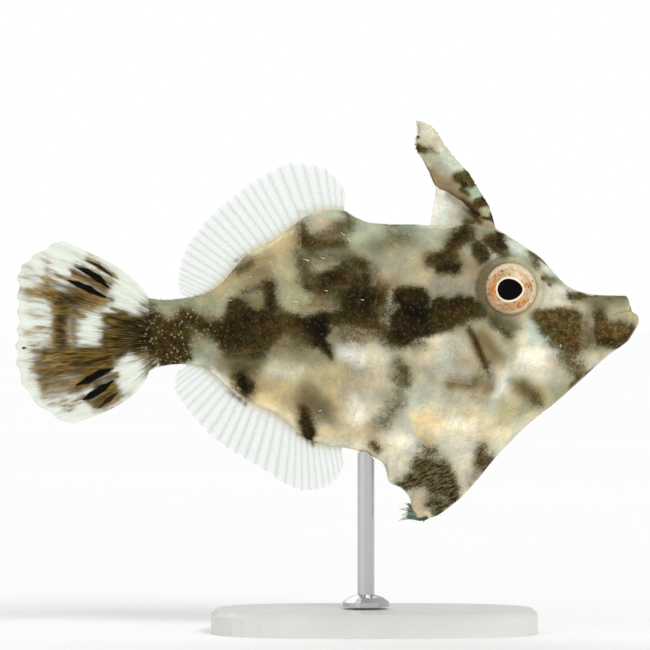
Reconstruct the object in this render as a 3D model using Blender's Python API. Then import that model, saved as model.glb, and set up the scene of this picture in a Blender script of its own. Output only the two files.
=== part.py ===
"""Aiptasia-eating filefish, life size, swimming level above a plain display stand.

A Blender 4.5 script: run it with blender --background --python part.py, or from the text editor.
Sizes are millimetres and become metres when a mesh is made. The fish faces +X, +Z is up, and the
origin lies on the floor under the middle of the fish's length. Heights are measured from the fish's
long axis, which lies AXIS_HEIGHT above the floor.
"""

import math
import random

import bmesh
import bpy
import numpy as np
from mathutils import Vector
from mathutils.bvhtree import BVHTree

MM = 0.001
AXIS_HEIGHT = 39.5
GAP = 0.3  # between neighbours, so that no two solids touch

# Body ribs from tail to lips: each joins a point of the back to one of the underside (x, height, x, height).
BODY_RIBS = (
    (-23.0, 3.5, -23.0, -6.0), (-20.9, 3.3, -21.2, -5.3), (-18.6, 3.5, -19.0, -5.1),
    (-16.0, 4.1, -16.7, -5.3), (-14.4, 4.9, -14.8, -6.3), (-12.8, 6.5, -13.1, -7.9),
    (-10.9, 8.7, -11.3, -9.4), (-8.5, 10.2, -9.1, -10.4), (-5.9, 11.8, -6.8, -11.5),
    (-3.4, 13.7, -4.7, -13.1), (-1.0, 14.7, -3.1, -14.5), (1.6, 14.9, -1.3, -15.3),
    (3.8, 13.8, 0.8, -15.7), (5.6, 13.2, 2.9, -16.0), (9.2, 13.0, 7.1, -17.9),
    (11.0, 13.0, 7.9, -20.3), (12.8, 12.9, 9.4, -21.0), (13.9, 12.9, 10.6, -22.6),
    (15.6, 12.9, 10.9, -24.9), (17.1, 13.0, 13.3, -24.8), (18.8, 13.1, 16.4, -22.9),
    (20.6, 13.0, 19.3, -19.9), (21.9, 12.3, 21.5, -17.2), (25.7, 9.9, 25.6, -13.0),
    (27.5, 8.6, 27.4, -11.5), (29.0, 6.9, 29.2, -10.1), (31.5, 4.7, 32.7, -7.0),
    (35.0, 3.9, 35.9, -4.1), (38.4, 3.8, 38.7, -2.0), (38.8, 2.9, 39.5, -0.8),
    (38.9, 2.0, 40.1, 0.3), (39.7, 1.4, 40.0, 1.0),
)
# Half the body's greatest width, as (x, half width).
HALF_WIDTHS = (
    (-23.3, 1.2), (-18.6, 1.6), (-10.0, 2.8), (0.0, 4.0), (9.0, 4.7), (17.0, 4.9), (22.0, 4.7),
    (27.0, 3.9), (32.0, 2.8), (36.4, 2.0), (37.6, 1.75), (38.6, 1.7), (39.4, 1.3), (40.0, 0.5),
)
RIB_SPACING = 1.15
RIB_ROWS = 17
SECTION_FULLNESS = 2.3
SECTION_ROUNDING = 0.62
FLAP_TOP = -18.0  # the height below which the body is a thin flap
FLAP_HALF_THICKNESS = 1.0
FLAP_EDGE_HALF_THICKNESS = 0.5
FLAP_ROUNDING = 1.2

TAIL_CUT_X = -17.6
FLAP_CUT_HEIGHT = -18.4
GILL_SLIT = ((18.0, -0.3), (19.8, -4.8))  # its upper and lower ends
GILL_SLIT_DEPTH = 0.9
GILL_SLIT_HALF_WIDTH = 0.3
GILL_SLIT_REACH = 2.0  # how far the slit opens behind its edge
GILL_SLIT_RINGS = 7
JAW_CUT_X = 36.4
MOUTH_CORNER = (36.4, 1.0)
MOUTH_FRONT = (38.9, 1.9)
NOSTRILS = ((27.6, 6.0), (28.5, 5.2))
NOSTRIL_RADIUS = 0.38
NOSTRIL_DEPTH = 0.6
NOSTRIL_SIDES = 10

EYE = (23.3, 4.5)
EYE_RADIUS = 3.45
EYE_HALF_DEPTH = 1.9
EYE_SUNK = 0.9
EYE_SIDES = 24
EYE_RINGS = 11
POLE_TURN = 0.12  # where the first and last ring of a rounded form lie, from its poles
ORBIT_RADIUS = 3.95  # of the raised rim of skin round the eye
ORBIT_THICKNESS = 0.4
ORBIT_SUNK = 0.3  # share of its thickness by which the rim sits in the skin
ORBIT_SIDES = 7

# Fin rays from front to back, each from its foot to its tip (x, height, x, height).
DORSAL_RAYS = (
    (2.1, 15.0, 2.3, 17.3), (0.3, 14.9, -0.5, 20.2), (-2.4, 14.1, -4.6, 20.8),
    (-4.9, 12.3, -8.5, 19.1), (-6.8, 10.9, -11.3, 17.2), (-9.4, 9.6, -14.0, 15.0),
    (-11.3, 8.2, -16.4, 12.5), (-12.8, 6.5, -18.1, 10.1), (-14.4, 5.0, -19.1, 7.3),
    (-16.0, 4.1, -19.3, 5.5), (-18.0, 3.5, -19.0, 4.0),
)
ANAL_RAYS = (
    (1.8, -15.8, 2.1, -17.9), (0.3, -15.6, 1.1, -19.8), (-1.4, -15.3, -0.7, -21.0),
    (-3.1, -14.4, -2.9, -21.3), (-4.7, -13.1, -5.4, -20.5), (-6.8, -11.5, -8.5, -18.5),
    (-9.1, -10.4, -11.5, -16.7), (-11.3, -9.4, -14.2, -14.9), (-13.1, -7.9, -16.8, -12.3),
    (-14.8, -6.4, -18.7, -10.0), (-16.3, -5.4, -19.7, -8.0), (-18.0, -5.1, -19.5, -6.1),
)
CAUDAL_RAYS = (
    (-23.0, 3.4, -34.4, 11.0), (-23.0, 2.7, -36.7, 9.7), (-23.0, 1.9, -39.0, 8.1),
    (-23.0, 1.0, -39.9, 6.6), (-23.0, 0.1, -40.0, 4.1), (-23.0, -0.8, -40.0, 1.8),
    (-23.0, -1.7, -40.0, -0.7), (-23.0, -2.6, -40.2, -3.0), (-23.0, -3.4, -40.0, -5.4),
    (-23.0, -4.3, -39.0, -8.3), (-23.0, -5.1, -36.2, -11.2), (-23.0, -5.9, -33.0, -12.9),
)
PECTORAL_RAYS = (
    (19.4, -5.2, 16.7, -1.3), (19.4, -5.7, 14.4, -1.6), (19.3, -6.3, 12.8, -2.8),
    (19.2, -6.8, 12.4, -4.4), (19.0, -7.3, 12.9, -5.8), (18.8, -7.8, 14.4, -7.1),
)
DORSAL_RAY_COUNT = 27
ANAL_RAY_COUNT = 26
CAUDAL_RAY_COUNT = 12
PECTORAL_RAY_COUNT = 11
FIN_SUNK = 1.3
FIN_ROWS = 6
FIN_NOTCH = 0.12  # how far the margin dips between two rays
TAIL_NOTCH = 0.35
TAIL_BOW = (1.1, 1.4)  # how far the fan's upper and lower edges bow outwards
BOW_FADE = 5  # how fast the bow fades from ray to ray
BOW_SKEW = 0.75  # below 1 is nearer the root
MEDIAN_WAVE = 0.5
TAIL_WAVE = 0.4
# Half thickness at the root and its loss out to the margin, on a ray and between rays.
MEDIAN_THICKNESS = ((0.42, 0.20), (0.26, 0.06))
TAIL_THICKNESS = ((0.75, 0.55), (0.55, 0.35))
PECTORAL_THICKNESS = ((0.36, 0.12), (0.26, 0.04))
PECTORAL_LIFT = (-0.9, 1.9, 1.1)  # height over the flank: at the root, gained near it, gained by the tip

# The first dorsal spine from its foot to its tip, as (front x, height, rear x, height, half thickness).
SPINE_RIBS = (
    (21.8, 11.4, 18.3, 11.6, 1.15), (21.4, 13.2, 18.9, 13.5, 1.1), (21.0, 14.6, 18.3, 14.7, 1.05),
    (20.4, 15.9, 17.3, 15.7, 1.0), (19.6, 17.1, 15.7, 16.8, 0.95), (19.0, 18.2, 14.0, 17.7, 0.9),
    (18.3, 19.3, 13.3, 19.0, 0.85), (17.1, 20.6, 12.7, 20.3, 0.8), (15.9, 22.0, 11.9, 21.7, 0.75),
    (15.1, 23.1, 11.3, 22.7, 0.7), (14.4, 24.2, 11.2, 23.6, 0.65), (13.9, 25.0, 11.5, 24.9, 0.55),
    (13.0, 25.8, 11.4, 25.8, 0.4), (12.0, 26.2, 11.3, 26.3, 0.15),
)
SPINE_SIDES = 12
# Barbs in two rows behind the spine's upper half, and low ones in one row in front; places count SPINE_RIBS.
REAR_BARBS = (5, 8.4, 12.0)  # how many, and the places of the first and the last
REAR_BARB_LENGTH = 0.35
FRONT_BARBS = (10, 2.6, 11.6)
FRONT_BARB_LENGTH = 0.18
BARB_RADIUS = 0.22
BARB_SUNK = 0.4
BARB_SPREAD = 0.3
BARB_FLARE = 1.6
BARB_DROP = 0.5
BARB_STRAY = 0.12
MEMBRANE_RAYS = (
    (13.0, 12.9, 14.1, 18.6), (15.1, 12.9, 15.3, 17.9), (16.6, 12.9, 16.9, 17.2),
    (18.0, 12.9, 18.4, 15.9), (19.3, 12.9, 19.6, 14.6),
)
MEMBRANE_HALF_THICKNESS = 0.28
MEMBRANE_GRID = (9, 5)

# The bony scute at the end of the pelvic bone, and its spikes (x, height, x, height, y of the tip).
SCUTE_CENTRE = (11.9, -24.3)
SCUTE_HALF_SIZE = (1.5, 0.75, 0.95)
SCUTE_SPIKES = (
    (11.2, -24.7, 9.05, -25.2, 0.0), (11.0, -24.0, 9.15, -23.7, -0.3), (11.3, -23.8, 9.8, -22.9, 0.3),
    (11.2, -24.4, 9.5, -24.5, 0.9), (11.2, -24.4, 9.5, -24.5, -0.9), (12.6, -24.6, 12.3, -25.4, 0.0),
)
SCUTE_RINGS = 9
SCUTE_SIDES = 12
SPIKE_RADIUS = 0.42
SPIKE_SIDES = 5

STAND_BASE_CENTRE_X = 6.0
STAND_BASE_HALF_SIZE = (21.0, 13.0)
STAND_BASE_HEIGHT = 3.0
STAND_BASE_CHAMFER = 0.6
STAND_BASE_SIDES = 40
STAND_BASE_SQUARENESS = 0.7
STAND_ROD_X = 4.9
STAND_ROD_RADIUS = 1.1
STAND_ROD_SIDES = 24
STAND_FOOT_RADIUS = 3.0
STAND_FOOT_HEIGHT = 1.2


def smooth_line(points):
    """A function through the points, with no overshoot between them."""
    xs, ys = np.array(points, float).T
    step = np.diff(xs)
    slope = np.diff(ys) / step
    tangent = np.zeros(len(xs))
    tangent[0], tangent[-1] = slope[0], slope[-1]
    for i in range(1, len(xs) - 1):
        before, after = slope[i - 1], slope[i]
        if before * after > 0:
            near, far = 2 * step[i] + step[i - 1], step[i] + 2 * step[i - 1]
            tangent[i] = (near + far) / (near / before + far / after)

    def line(x):
        x = np.clip(x, xs[0], xs[-1])
        i = np.clip(np.searchsorted(xs, x, side="right") - 1, 0, len(step) - 1)
        t = (x - xs[i]) / step[i]
        return (
            (1 + 2 * t) * (1 - t) ** 2 * ys[i]
            + t * (1 - t) ** 2 * step[i] * tangent[i]
            + t * t * (3 - 2 * t) * ys[i + 1]
            + t * t * (t - 1) * step[i] * tangent[i + 1]
        )

    return line


def smooth_rows(rows):
    """A function that reads between the rows of a table, column by column."""
    lines = [smooth_line(list(enumerate(column))) for column in zip(*rows)]
    return lambda place: np.array([line(place) for line in lines])


def turns(count):
    """Angles evenly round a circle."""
    return [2 * math.pi * i / count for i in range(count)]


def new_object(name, points, faces):
    """A mesh object from points in millimetres, with its faces turned outwards."""
    mesh = bpy.data.meshes.new(name)
    placed = (np.asarray(points, float) + (0, 0, AXIS_HEIGHT)) * MM
    mesh.from_pydata(placed.tolist(), [], faces)
    obj = bpy.data.objects.new(name, mesh)
    bpy.context.scene.collection.objects.link(obj)
    form = bmesh.new()
    form.from_mesh(mesh)
    bmesh.ops.recalc_face_normals(form, faces=form.faces)
    form.to_mesh(mesh)
    form.free()
    return obj


def loft(name, rings):
    """Joins rings of points into one closed surface."""
    size, count = len(rings[0]), len(rings)
    points = [point for ring in rings for point in ring]
    faces = [tuple(range(size)), tuple(range((count - 1) * size, count * size))]
    for a in range(count - 1):
        for i in range(size):
            j = (i + 1) % size
            faces.append((a * size + i, a * size + j, (a + 1) * size + j, (a + 1) * size + i))
    return new_object(name, points, faces)


def grown(obj, distance):
    """A copy of the object that stands out from it by the distance on every side."""
    copy = bpy.data.objects.new(obj.name + "_grown", obj.data.copy())
    bpy.context.scene.collection.objects.link(copy)
    form = bmesh.new()
    form.from_mesh(copy.data)
    form.normal_update()
    steps = [vert.normal * distance * MM * min(vert.calc_shell_factor(), 1.4) for vert in form.verts]
    for vert, step in zip(form.verts, steps):
        vert.co += step
    form.to_mesh(copy.data)
    form.free()
    return copy


def keep_largest(obj):
    """Merges the doubles that a cut leaves, and drops every closed surface but the largest."""
    form = bmesh.new()
    form.from_mesh(obj.data)
    bmesh.ops.remove_doubles(form, verts=form.verts, dist=1e-6)
    left, shells = set(form.faces), []
    while left:
        shell, search = set(), [left.pop()]
        while search:
            face = search.pop()
            shell.add(face)
            for edge in face.edges:
                found = [other for other in edge.link_faces if other in left]
                left.difference_update(found)
                search.extend(found)
        shells.append(shell)
    shells.sort(key=lambda shell: sum(face.calc_area() for face in shell))
    for shell in shells[:-1]:
        bmesh.ops.delete(form, geom=list(shell), context="FACES")
    bmesh.ops.triangulate(form, faces=form.faces)
    form.to_mesh(obj.data)
    form.free()


def boolean(obj, operation, tools):
    """Joins the tools to the object, or cuts them from it, and removes them."""
    group = bpy.data.collections.new(obj.name + "_tools")
    bpy.context.scene.collection.children.link(group)
    for tool in tools:
        group.objects.link(tool)
    change = obj.modifiers.new("boolean", "BOOLEAN")
    change.operation = operation
    change.operand_type = "COLLECTION"
    change.collection = group
    change.solver = "EXACT"
    graph = bpy.context.evaluated_depsgraph_get()
    mesh = bpy.data.meshes.new_from_object(obj.evaluated_get(graph))
    obj.modifiers.clear()
    obj.data = mesh
    for tool in tools:
        bpy.data.objects.remove(tool)
    bpy.data.collections.remove(group)
    keep_largest(obj)


def keep_side(obj, point, towards):
    """Keeps what lies on one side of a plane, and closes the cut."""
    form = bmesh.new()
    form.from_mesh(obj.data)
    place = (Vector(point) + Vector((0, 0, AXIS_HEIGHT))) * MM
    everything = list(form.verts) + list(form.edges) + list(form.faces)
    bmesh.ops.bisect_plane(
        form, geom=everything, dist=1e-7, plane_co=place, plane_no=Vector(towards), clear_inner=True
    )
    rim = [edge for edge in form.edges if edge.is_boundary]
    bmesh.ops.holes_fill(form, edges=rim, sides=0)
    bmesh.ops.triangulate(form, faces=form.faces)
    bmesh.ops.recalc_face_normals(form, faces=form.faces)
    form.to_mesh(obj.data)
    form.free()
    keep_largest(obj)


def paint(obj, colour, roughness, metallic=0.0):
    """Gives the object its own material, and smooth shading up to its sharp edges."""
    finish = bpy.data.materials.new(obj.name)
    finish.use_nodes = True
    shader = finish.node_tree.nodes["Principled BSDF"]
    shader.inputs["Base Color"].default_value = (*colour, 1)
    shader.inputs["Roughness"].default_value = roughness
    shader.inputs["Metallic"].default_value = metallic
    obj.data.materials.clear()
    obj.data.materials.append(finish)
    obj.data.shade_smooth()
    obj.data.set_sharp_from_angle(angle=math.radians(40))
    return obj


def body_ring(rib):
    """The skin's points round one rib, up the right side and down the left."""
    back, belly = Vector(rib[:2]), Vector(rib[2:])
    length = (back - belly).length
    flap = max(0.0, FLAP_TOP - belly.y) / max((back - belly).y, 1e-6) * length
    ring = []
    for angle in np.linspace(-math.pi / 2, math.pi / 2, RIB_ROWS):
        reach = length * (1 + math.sin(angle)) / 2
        place = belly.lerp(back, reach / length)
        share = (reach - flap) / (length - flap)
        side = 0.0
        if share > 0:
            lens = max(0.0, 1 - abs(2 * share - 1) ** SECTION_FULLNESS) ** SECTION_ROUNDING
            side = widest(place.x) * lens
        if flap > 0:
            rise = min(reach / flap, 1)
            blade = FLAP_EDGE_HALF_THICKNESS + (FLAP_HALF_THICKNESS - FLAP_EDGE_HALF_THICKNESS) * rise
            blade *= math.sqrt(1 - (1 - min(reach / FLAP_ROUNDING, 1)) ** 2) * min(flap / FLAP_ROUNDING, 1)
            side = math.hypot(side, blade * (1 - max(share, 0)) ** 2)
        ring.append((place.x, float(side), place.y))
    right = [(x, -y, z) for x, y, z in ring]
    right[0] = (ring[0][0], 0.0, ring[0][2])
    right[-1] = (ring[-1][0], 0.0, ring[-1][2])
    return right + ring[-2:0:-1]


def whole_body(name):
    """The whole fish without its fins, as one closed surface."""
    rows = smooth_rows(BODY_RIBS)
    rings = []
    for i, (near, far) in enumerate(zip(BODY_RIBS, BODY_RIBS[1:])):
        reach = max(math.dist(near[:2], far[:2]), math.dist(near[2:], far[2:]))
        count = max(1, round(reach / RIB_SPACING))
        rings += [body_ring(rows(i + j / count)) for j in range(count)]
    rings.append(body_ring(BODY_RIBS[-1]))
    return loft(name, rings)


def surface_of(body):
    """A function that gives how far the skin lies from the middle plane at a place in side view."""
    form = bmesh.new()
    form.from_mesh(body.data)
    tree = BVHTree.FromBMesh(form)
    form.free()

    def surface(x, height):
        start = Vector((x, -50, height + AXIS_HEIGHT)) * MM
        hit = tree.ray_cast(start, Vector((0, 1, 0)))[0]
        return -hit.y / MM if hit else 0.0

    return surface


def gill_line():
    """The gill slit's upper and lower ends, and the direction square to it towards the snout."""
    upper, lower = (Vector((x, 0, z)) for x, z in GILL_SLIT)
    down = (lower - upper).normalized()
    return upper, lower, Vector((-down.z, 0, down.x))


def tail_stem():
    obj = whole_body("tail_stem")
    keep_side(obj, (TAIL_CUT_X - GAP / 2, 0, 0), (-1, 0, 0))
    return paint(obj, (0.20, 0.17, 0.10), 0.55)


def torso():
    obj = whole_body("torso")
    upper, _lower, ahead = gill_line()
    keep_side(obj, (TAIL_CUT_X + GAP / 2, 0, 0), (1, 0, 0))
    keep_side(obj, upper - ahead * GAP / 2, -ahead)
    keep_side(obj, (0, 0, FLAP_CUT_HEIGHT + GAP / 2), (0, 0, 1))
    return paint(obj, (0.38, 0.36, 0.26), 0.5)


def pelvic_flap():
    obj = whole_body("pelvic_flap")
    keep_side(obj, (0, 0, FLAP_CUT_HEIGHT - GAP / 2), (0, 0, -1))
    lump, spikes = scute_pieces("scute_tool", GAP)
    boolean(obj, "DIFFERENCE", [lump] + spikes)
    return paint(obj, (0.22, 0.18, 0.09), 0.55)


def gill_slit_tool(side, surface):
    """What widens the joint behind the head into the gill slit."""
    upper, lower, ahead = gill_line()
    rings = []
    for share in np.linspace(0, 1, GILL_SLIT_RINGS):
        place = upper.lerp(lower, share)
        skin = surface(place.x + GAP, place.z)
        half = GILL_SLIT_HALF_WIDTH * math.sin(math.pi * share)
        ring = []
        back = -GILL_SLIT_REACH
        for along, out in ((back, 1.0), (half, 1.0), (half, 0.0), (0.0, -1.0), (back, -1.0)):
            spot = place + ahead * (GAP + along)
            ring.append((spot.x, side * (skin + out * GILL_SLIT_DEPTH), spot.z))
        rings.append(ring)
    return loft("gill_slit", rings)


def nostril_tool(side, surface, x, z):
    """A short round pit through the skin in front of the eye."""
    skin = surface(x, z)
    rings = []
    for out in (-NOSTRIL_DEPTH, 1.0):
        rings.append([
            (x + NOSTRIL_RADIUS * math.cos(a), side * (skin + out), z + NOSTRIL_RADIUS * math.sin(a))
            for a in turns(NOSTRIL_SIDES)
        ])
    return loft("nostril", rings)


def orbit_rim(side, surface):
    """A low ring of skin, which is fused to the head round its eye."""
    points, faces = [], []
    for a in turns(EYE_SIDES):
        skin = surface(EYE[0] + ORBIT_RADIUS * math.cos(a), EYE[1] + ORBIT_RADIUS * math.sin(a))
        for b in turns(ORBIT_SIDES):
            reach = ORBIT_RADIUS + ORBIT_THICKNESS * math.cos(b)
            out = skin + ORBIT_THICKNESS * (math.sin(b) - ORBIT_SUNK)
            points.append((EYE[0] + reach * math.cos(a), side * out, EYE[1] + reach * math.sin(a)))
    for i in range(EYE_SIDES):
        near, far = i * ORBIT_SIDES, (i + 1) % EYE_SIDES * ORBIT_SIDES
        for j in range(ORBIT_SIDES):
            k = (j + 1) % ORBIT_SIDES
            faces.append((near + j, near + k, far + k, far + j))
    return new_object("orbit_rim", points, faces)


def head(eyes, surface):
    """The head, with its eye sockets, its nostrils and the gill slit at its rear edge."""
    obj = whole_body("head")
    upper, _lower, ahead = gill_line()
    keep_side(obj, upper + ahead * GAP / 2, ahead)
    keep_side(obj, (JAW_CUT_X - GAP / 2, 0, 0), (-1, 0, 0))
    keep_side(obj, (0, 0, FLAP_CUT_HEIGHT + GAP / 2), (0, 0, 1))
    boolean(obj, "UNION", [orbit_rim(side, surface) for side in (-1, 1)])
    tools = [grown(eyeball, GAP) for eyeball in eyes]
    for side in (-1, 1):
        tools.append(gill_slit_tool(side, surface))
        tools += [nostril_tool(side, surface, x, z) for x, z in NOSTRILS]
    boolean(obj, "DIFFERENCE", tools)
    return paint(obj, (0.42, 0.42, 0.32), 0.5)


def jaw(name, above):
    """The tip of the snout with its lip, above or below the line of the mouth."""
    obj = whole_body(name)
    keep_side(obj, (JAW_CUT_X + GAP / 2, 0, 0), (1, 0, 0))
    corner = Vector((MOUTH_CORNER[0], 0, MOUTH_CORNER[1]))
    front = Vector((MOUTH_FRONT[0], 0, MOUTH_FRONT[1]))
    upwards = Vector((corner.z - front.z, 0, front.x - corner.x)).normalized()
    towards = upwards if above else -upwards
    keep_side(obj, corner + towards * GAP / 2, towards)
    return paint(obj, (0.40, 0.37, 0.26), 0.5)


def eye(name, side, surface):
    """A flattened eyeball, which stands a little out of its socket."""
    middle = surface(*EYE) - EYE_SUNK
    rings = []
    for turn in np.linspace(POLE_TURN, math.pi - POLE_TURN, EYE_RINGS):
        reach, out = EYE_RADIUS * math.sin(turn), EYE_HALF_DEPTH * math.cos(turn)
        rings.append([
            (EYE[0] + reach * math.cos(a), side * (middle + out), EYE[1] + reach * math.sin(a))
            for a in turns(EYE_SIDES)
        ])
    return paint(loft(name, rings), (0.75, 0.60, 0.48), 0.15)


def fin_plate(name, columns):
    """A closed plate from columns of (point on its middle sheet, half thickness there)."""
    rows, count = len(columns[0]), len(columns)
    points = []
    for column in columns:
        for (x, y, z), half in column:
            points += [(x, y - half, z), (x, y + half, z)]

    def spot(column, row, side):
        return (column * rows + row) * 2 + side

    faces = []
    for a in range(count - 1):
        for r in range(rows - 1):
            for side in (0, 1):
                faces.append((spot(a, r, side), spot(a + 1, r, side), spot(a + 1, r + 1, side)))
                faces.append((spot(a, r, side), spot(a + 1, r + 1, side), spot(a, r + 1, side)))
        for r in (0, rows - 1):
            faces.append((spot(a, r, 0), spot(a + 1, r, 0), spot(a + 1, r, 1), spot(a, r, 1)))
    for a in (0, count - 1):
        for r in range(rows - 1):
            faces.append((spot(a, r, 0), spot(a, r + 1, 0), spot(a, r + 1, 1), spot(a, r, 1)))
    return new_object(name, points, faces)


def rayed_fin(name, rays, crests, sheet, thickness, notch, bow=(0.0, 0.0)):
    """A fin with raised rays: sheet gives a point's offset across the fin, thickness its half thickness.

    Its root is sunk into the body, and its margin is notched between the rays. The first and the
    last ray bow outwards by the two sizes of bow, and the rays beside them less.
    """
    table = smooth_rows(rays)
    columns = []
    for i in range(2 * crests + 1):
        along = i / (2 * crests)
        crest = i % 2 == 1
        foot_x, foot_z, tip_x, tip_z = table(along * (len(rays) - 1))
        foot, tip = Vector((foot_x, foot_z)), Vector((tip_x, tip_z))
        direction = (tip - foot).normalized()
        length = (tip - foot).length - (0 if crest else notch)
        outwards = Vector((direction.y, -direction.x))
        outwards *= bow[0] * (1 - along) ** BOW_FADE - bow[1] * along ** BOW_FADE
        column = []
        for reach in np.linspace(-FIN_SUNK, length, FIN_ROWS + 1):
            out = max(reach, 0) / length
            spot = foot + direction * reach + outwards * math.sin(math.pi * out ** BOW_SKEW)
            column.append(((spot.x, sheet(along, out, spot), spot.y), thickness(crest, out)))
        columns.append(column)
    return fin_plate(name, columns)


def thinning(sizes):
    """Half thickness of a fin on and between its rays, thinner towards the margin."""
    (crest_root, crest_loss), (web_root, web_loss) = sizes
    return lambda crest, out: crest_root - crest_loss * out if crest else web_root - web_loss * out


def wave(size, periods):
    """A gentle sideways wave that grows towards the margin."""
    return lambda along, out, _spot: size * out ** 1.5 * math.sin(2 * math.pi * periods * along)


def dorsal_fin(body):
    sheet, thickness = wave(MEDIAN_WAVE, 1.5), thinning(MEDIAN_THICKNESS)
    obj = rayed_fin("dorsal_fin", DORSAL_RAYS, DORSAL_RAY_COUNT, sheet, thickness, FIN_NOTCH)
    boolean(obj, "DIFFERENCE", [grown(body, GAP)])
    return paint(obj, (0.80, 0.84, 0.82), 0.3)


def anal_fin(body):
    sheet, thickness = wave(-MEDIAN_WAVE, 1.5), thinning(MEDIAN_THICKNESS)
    obj = rayed_fin("anal_fin", ANAL_RAYS, ANAL_RAY_COUNT, sheet, thickness, FIN_NOTCH)
    boolean(obj, "DIFFERENCE", [grown(body, GAP)])
    return paint(obj, (0.80, 0.84, 0.82), 0.3)


def caudal_fin(body):
    """The tail fin, with two crests for each of its branched rays."""
    sheet, thickness = wave(TAIL_WAVE, 0.5), thinning(TAIL_THICKNESS)
    obj = rayed_fin("caudal_fin", CAUDAL_RAYS, 2 * CAUDAL_RAY_COUNT, sheet, thickness, TAIL_NOTCH, TAIL_BOW)
    boolean(obj, "DIFFERENCE", [grown(body, GAP)])
    return paint(obj, (0.45, 0.33, 0.16), 0.4)


def pectoral_fin(name, side, body, surface):
    """A small clear fan behind the gill slit, which stands out from the flank."""
    at_root, near_root, by_tip = PECTORAL_LIFT

    def sheet(_along, out, spot):
        lift = at_root + near_root * min(out / 0.2, 1) + by_tip * out
        return side * (surface(spot.x, spot.y) + lift)

    thickness = thinning(PECTORAL_THICKNESS)
    obj = rayed_fin(name, PECTORAL_RAYS, PECTORAL_RAY_COUNT, sheet, thickness, FIN_NOTCH)
    boolean(obj, "DIFFERENCE", [grown(body, GAP)])
    return paint(obj, (0.82, 0.84, 0.78), 0.3)


def dorsal_spine(body):
    """The stout first spine, thick in front and thinner behind."""
    rings = []
    for front_x, front_z, rear_x, rear_z, half in SPINE_RIBS:
        ring = []
        for turn in turns(SPINE_SIDES):
            share = (1 - math.cos(turn)) / 2
            across = half * math.sin(turn) * (1.15 - 0.6 * share)
            ring.append((front_x + (rear_x - front_x) * share, across, front_z + (rear_z - front_z) * share))
        rings.append(ring)
    obj = loft("dorsal_spine", rings)
    boolean(obj, "DIFFERENCE", [grown(body, GAP)])
    return obj


def spine_membrane(body, spine):
    """The skin that joins the spine to the back behind it."""
    columns = []
    table = smooth_rows(MEMBRANE_RAYS)
    places, rows = MEMBRANE_GRID
    for place in np.linspace(0, len(MEMBRANE_RAYS) - 1, places):
        foot_x, foot_z, tip_x, tip_z = table(place)
        column = []
        for share in np.linspace(0, 1, rows):
            height = foot_z - FIN_SUNK + (tip_z - foot_z + FIN_SUNK) * share
            column.append(((foot_x + (tip_x - foot_x) * share, 0, height), MEMBRANE_HALF_THICKNESS))
        columns.append(column)
    obj = fin_plate("spine_membrane", columns)
    boolean(obj, "DIFFERENCE", [grown(body, GAP), grown(spine, GAP)])
    return paint(obj, (0.85, 0.86, 0.80), 0.35)


def spike(start, tip, radius):
    """A tapering spike as a closed surface, rooted at its start."""
    start, tip = Vector(start), Vector(tip)
    along = (tip - start).normalized()
    across = along.orthogonal().normalized()
    other = along.cross(across)
    points = []
    for turn in turns(SPIKE_SIDES):
        points.append(start + (across * math.cos(turn) + other * math.sin(turn)) * radius)
    points.append(tip)
    faces = [tuple(range(SPIKE_SIDES))]
    faces += [(i, (i + 1) % SPIKE_SIDES, SPIKE_SIDES) for i in range(SPIKE_SIDES)]
    return new_object("spike", [tuple(point) for point in points], faces)


def spine_barbs(spine):
    """Fuses the barbs, which point down and away from the spine, to its front and rear edges."""
    draw = random.Random(7)
    table = smooth_rows(SPINE_RIBS)
    barbs = []
    rows = (
        (REAR_BARBS, REAR_BARB_LENGTH, -1, (-BARB_SPREAD, BARB_SPREAD)),
        (FRONT_BARBS, FRONT_BARB_LENGTH, 1, (0.0,)),
    )
    for (count, first, last), length, ahead, sides in rows:
        for place in np.linspace(first, last, count):
            for y in sides:
                front_x, front_z, rear_x, rear_z, half = table(place + draw.uniform(-BARB_STRAY, BARB_STRAY))
                x, z = (front_x, front_z) if ahead > 0 else (rear_x, rear_z)
                reach = length * draw.uniform(0.75, 1.2)
                root = (x - ahead * BARB_SUNK, y * half, z)
                tip = (x + ahead * reach, BARB_FLARE * y, z - BARB_DROP * reach)
                barbs.append(spike(root, tip, BARB_RADIUS))
    boolean(spine, "UNION", barbs)
    return paint(spine, (0.55, 0.50, 0.38), 0.5)


def scute_pieces(name, grow=0.0):
    """The lump and the spikes of the pelvic scute, grown by a clearance."""
    size_x, size_y, size_z = (size + grow for size in SCUTE_HALF_SIZE)
    rings = []
    for turn in np.linspace(POLE_TURN, math.pi - POLE_TURN, SCUTE_RINGS):
        x = SCUTE_CENTRE[0] - size_x * math.cos(turn)
        half_y, half_z = size_y * math.sin(turn), size_z * math.sin(turn)
        rings.append([
            (x, half_y * math.cos(a), SCUTE_CENTRE[1] + half_z * math.sin(a))
            for a in turns(SCUTE_SIDES)
        ])
    radius = SPIKE_RADIUS + grow
    spikes = [spike((x1, 0.4 * y, z1), (x2, y, z2), radius) for x1, z1, x2, z2, y in SCUTE_SPIKES]
    return loft(name, rings), spikes


def pelvic_scute():
    """The bony tip of the pelvis, with its spikes."""
    obj, spikes = scute_pieces("pelvic_scute")
    boolean(obj, "UNION", spikes)
    return paint(obj, (0.45, 0.52, 0.52), 0.4)


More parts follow.
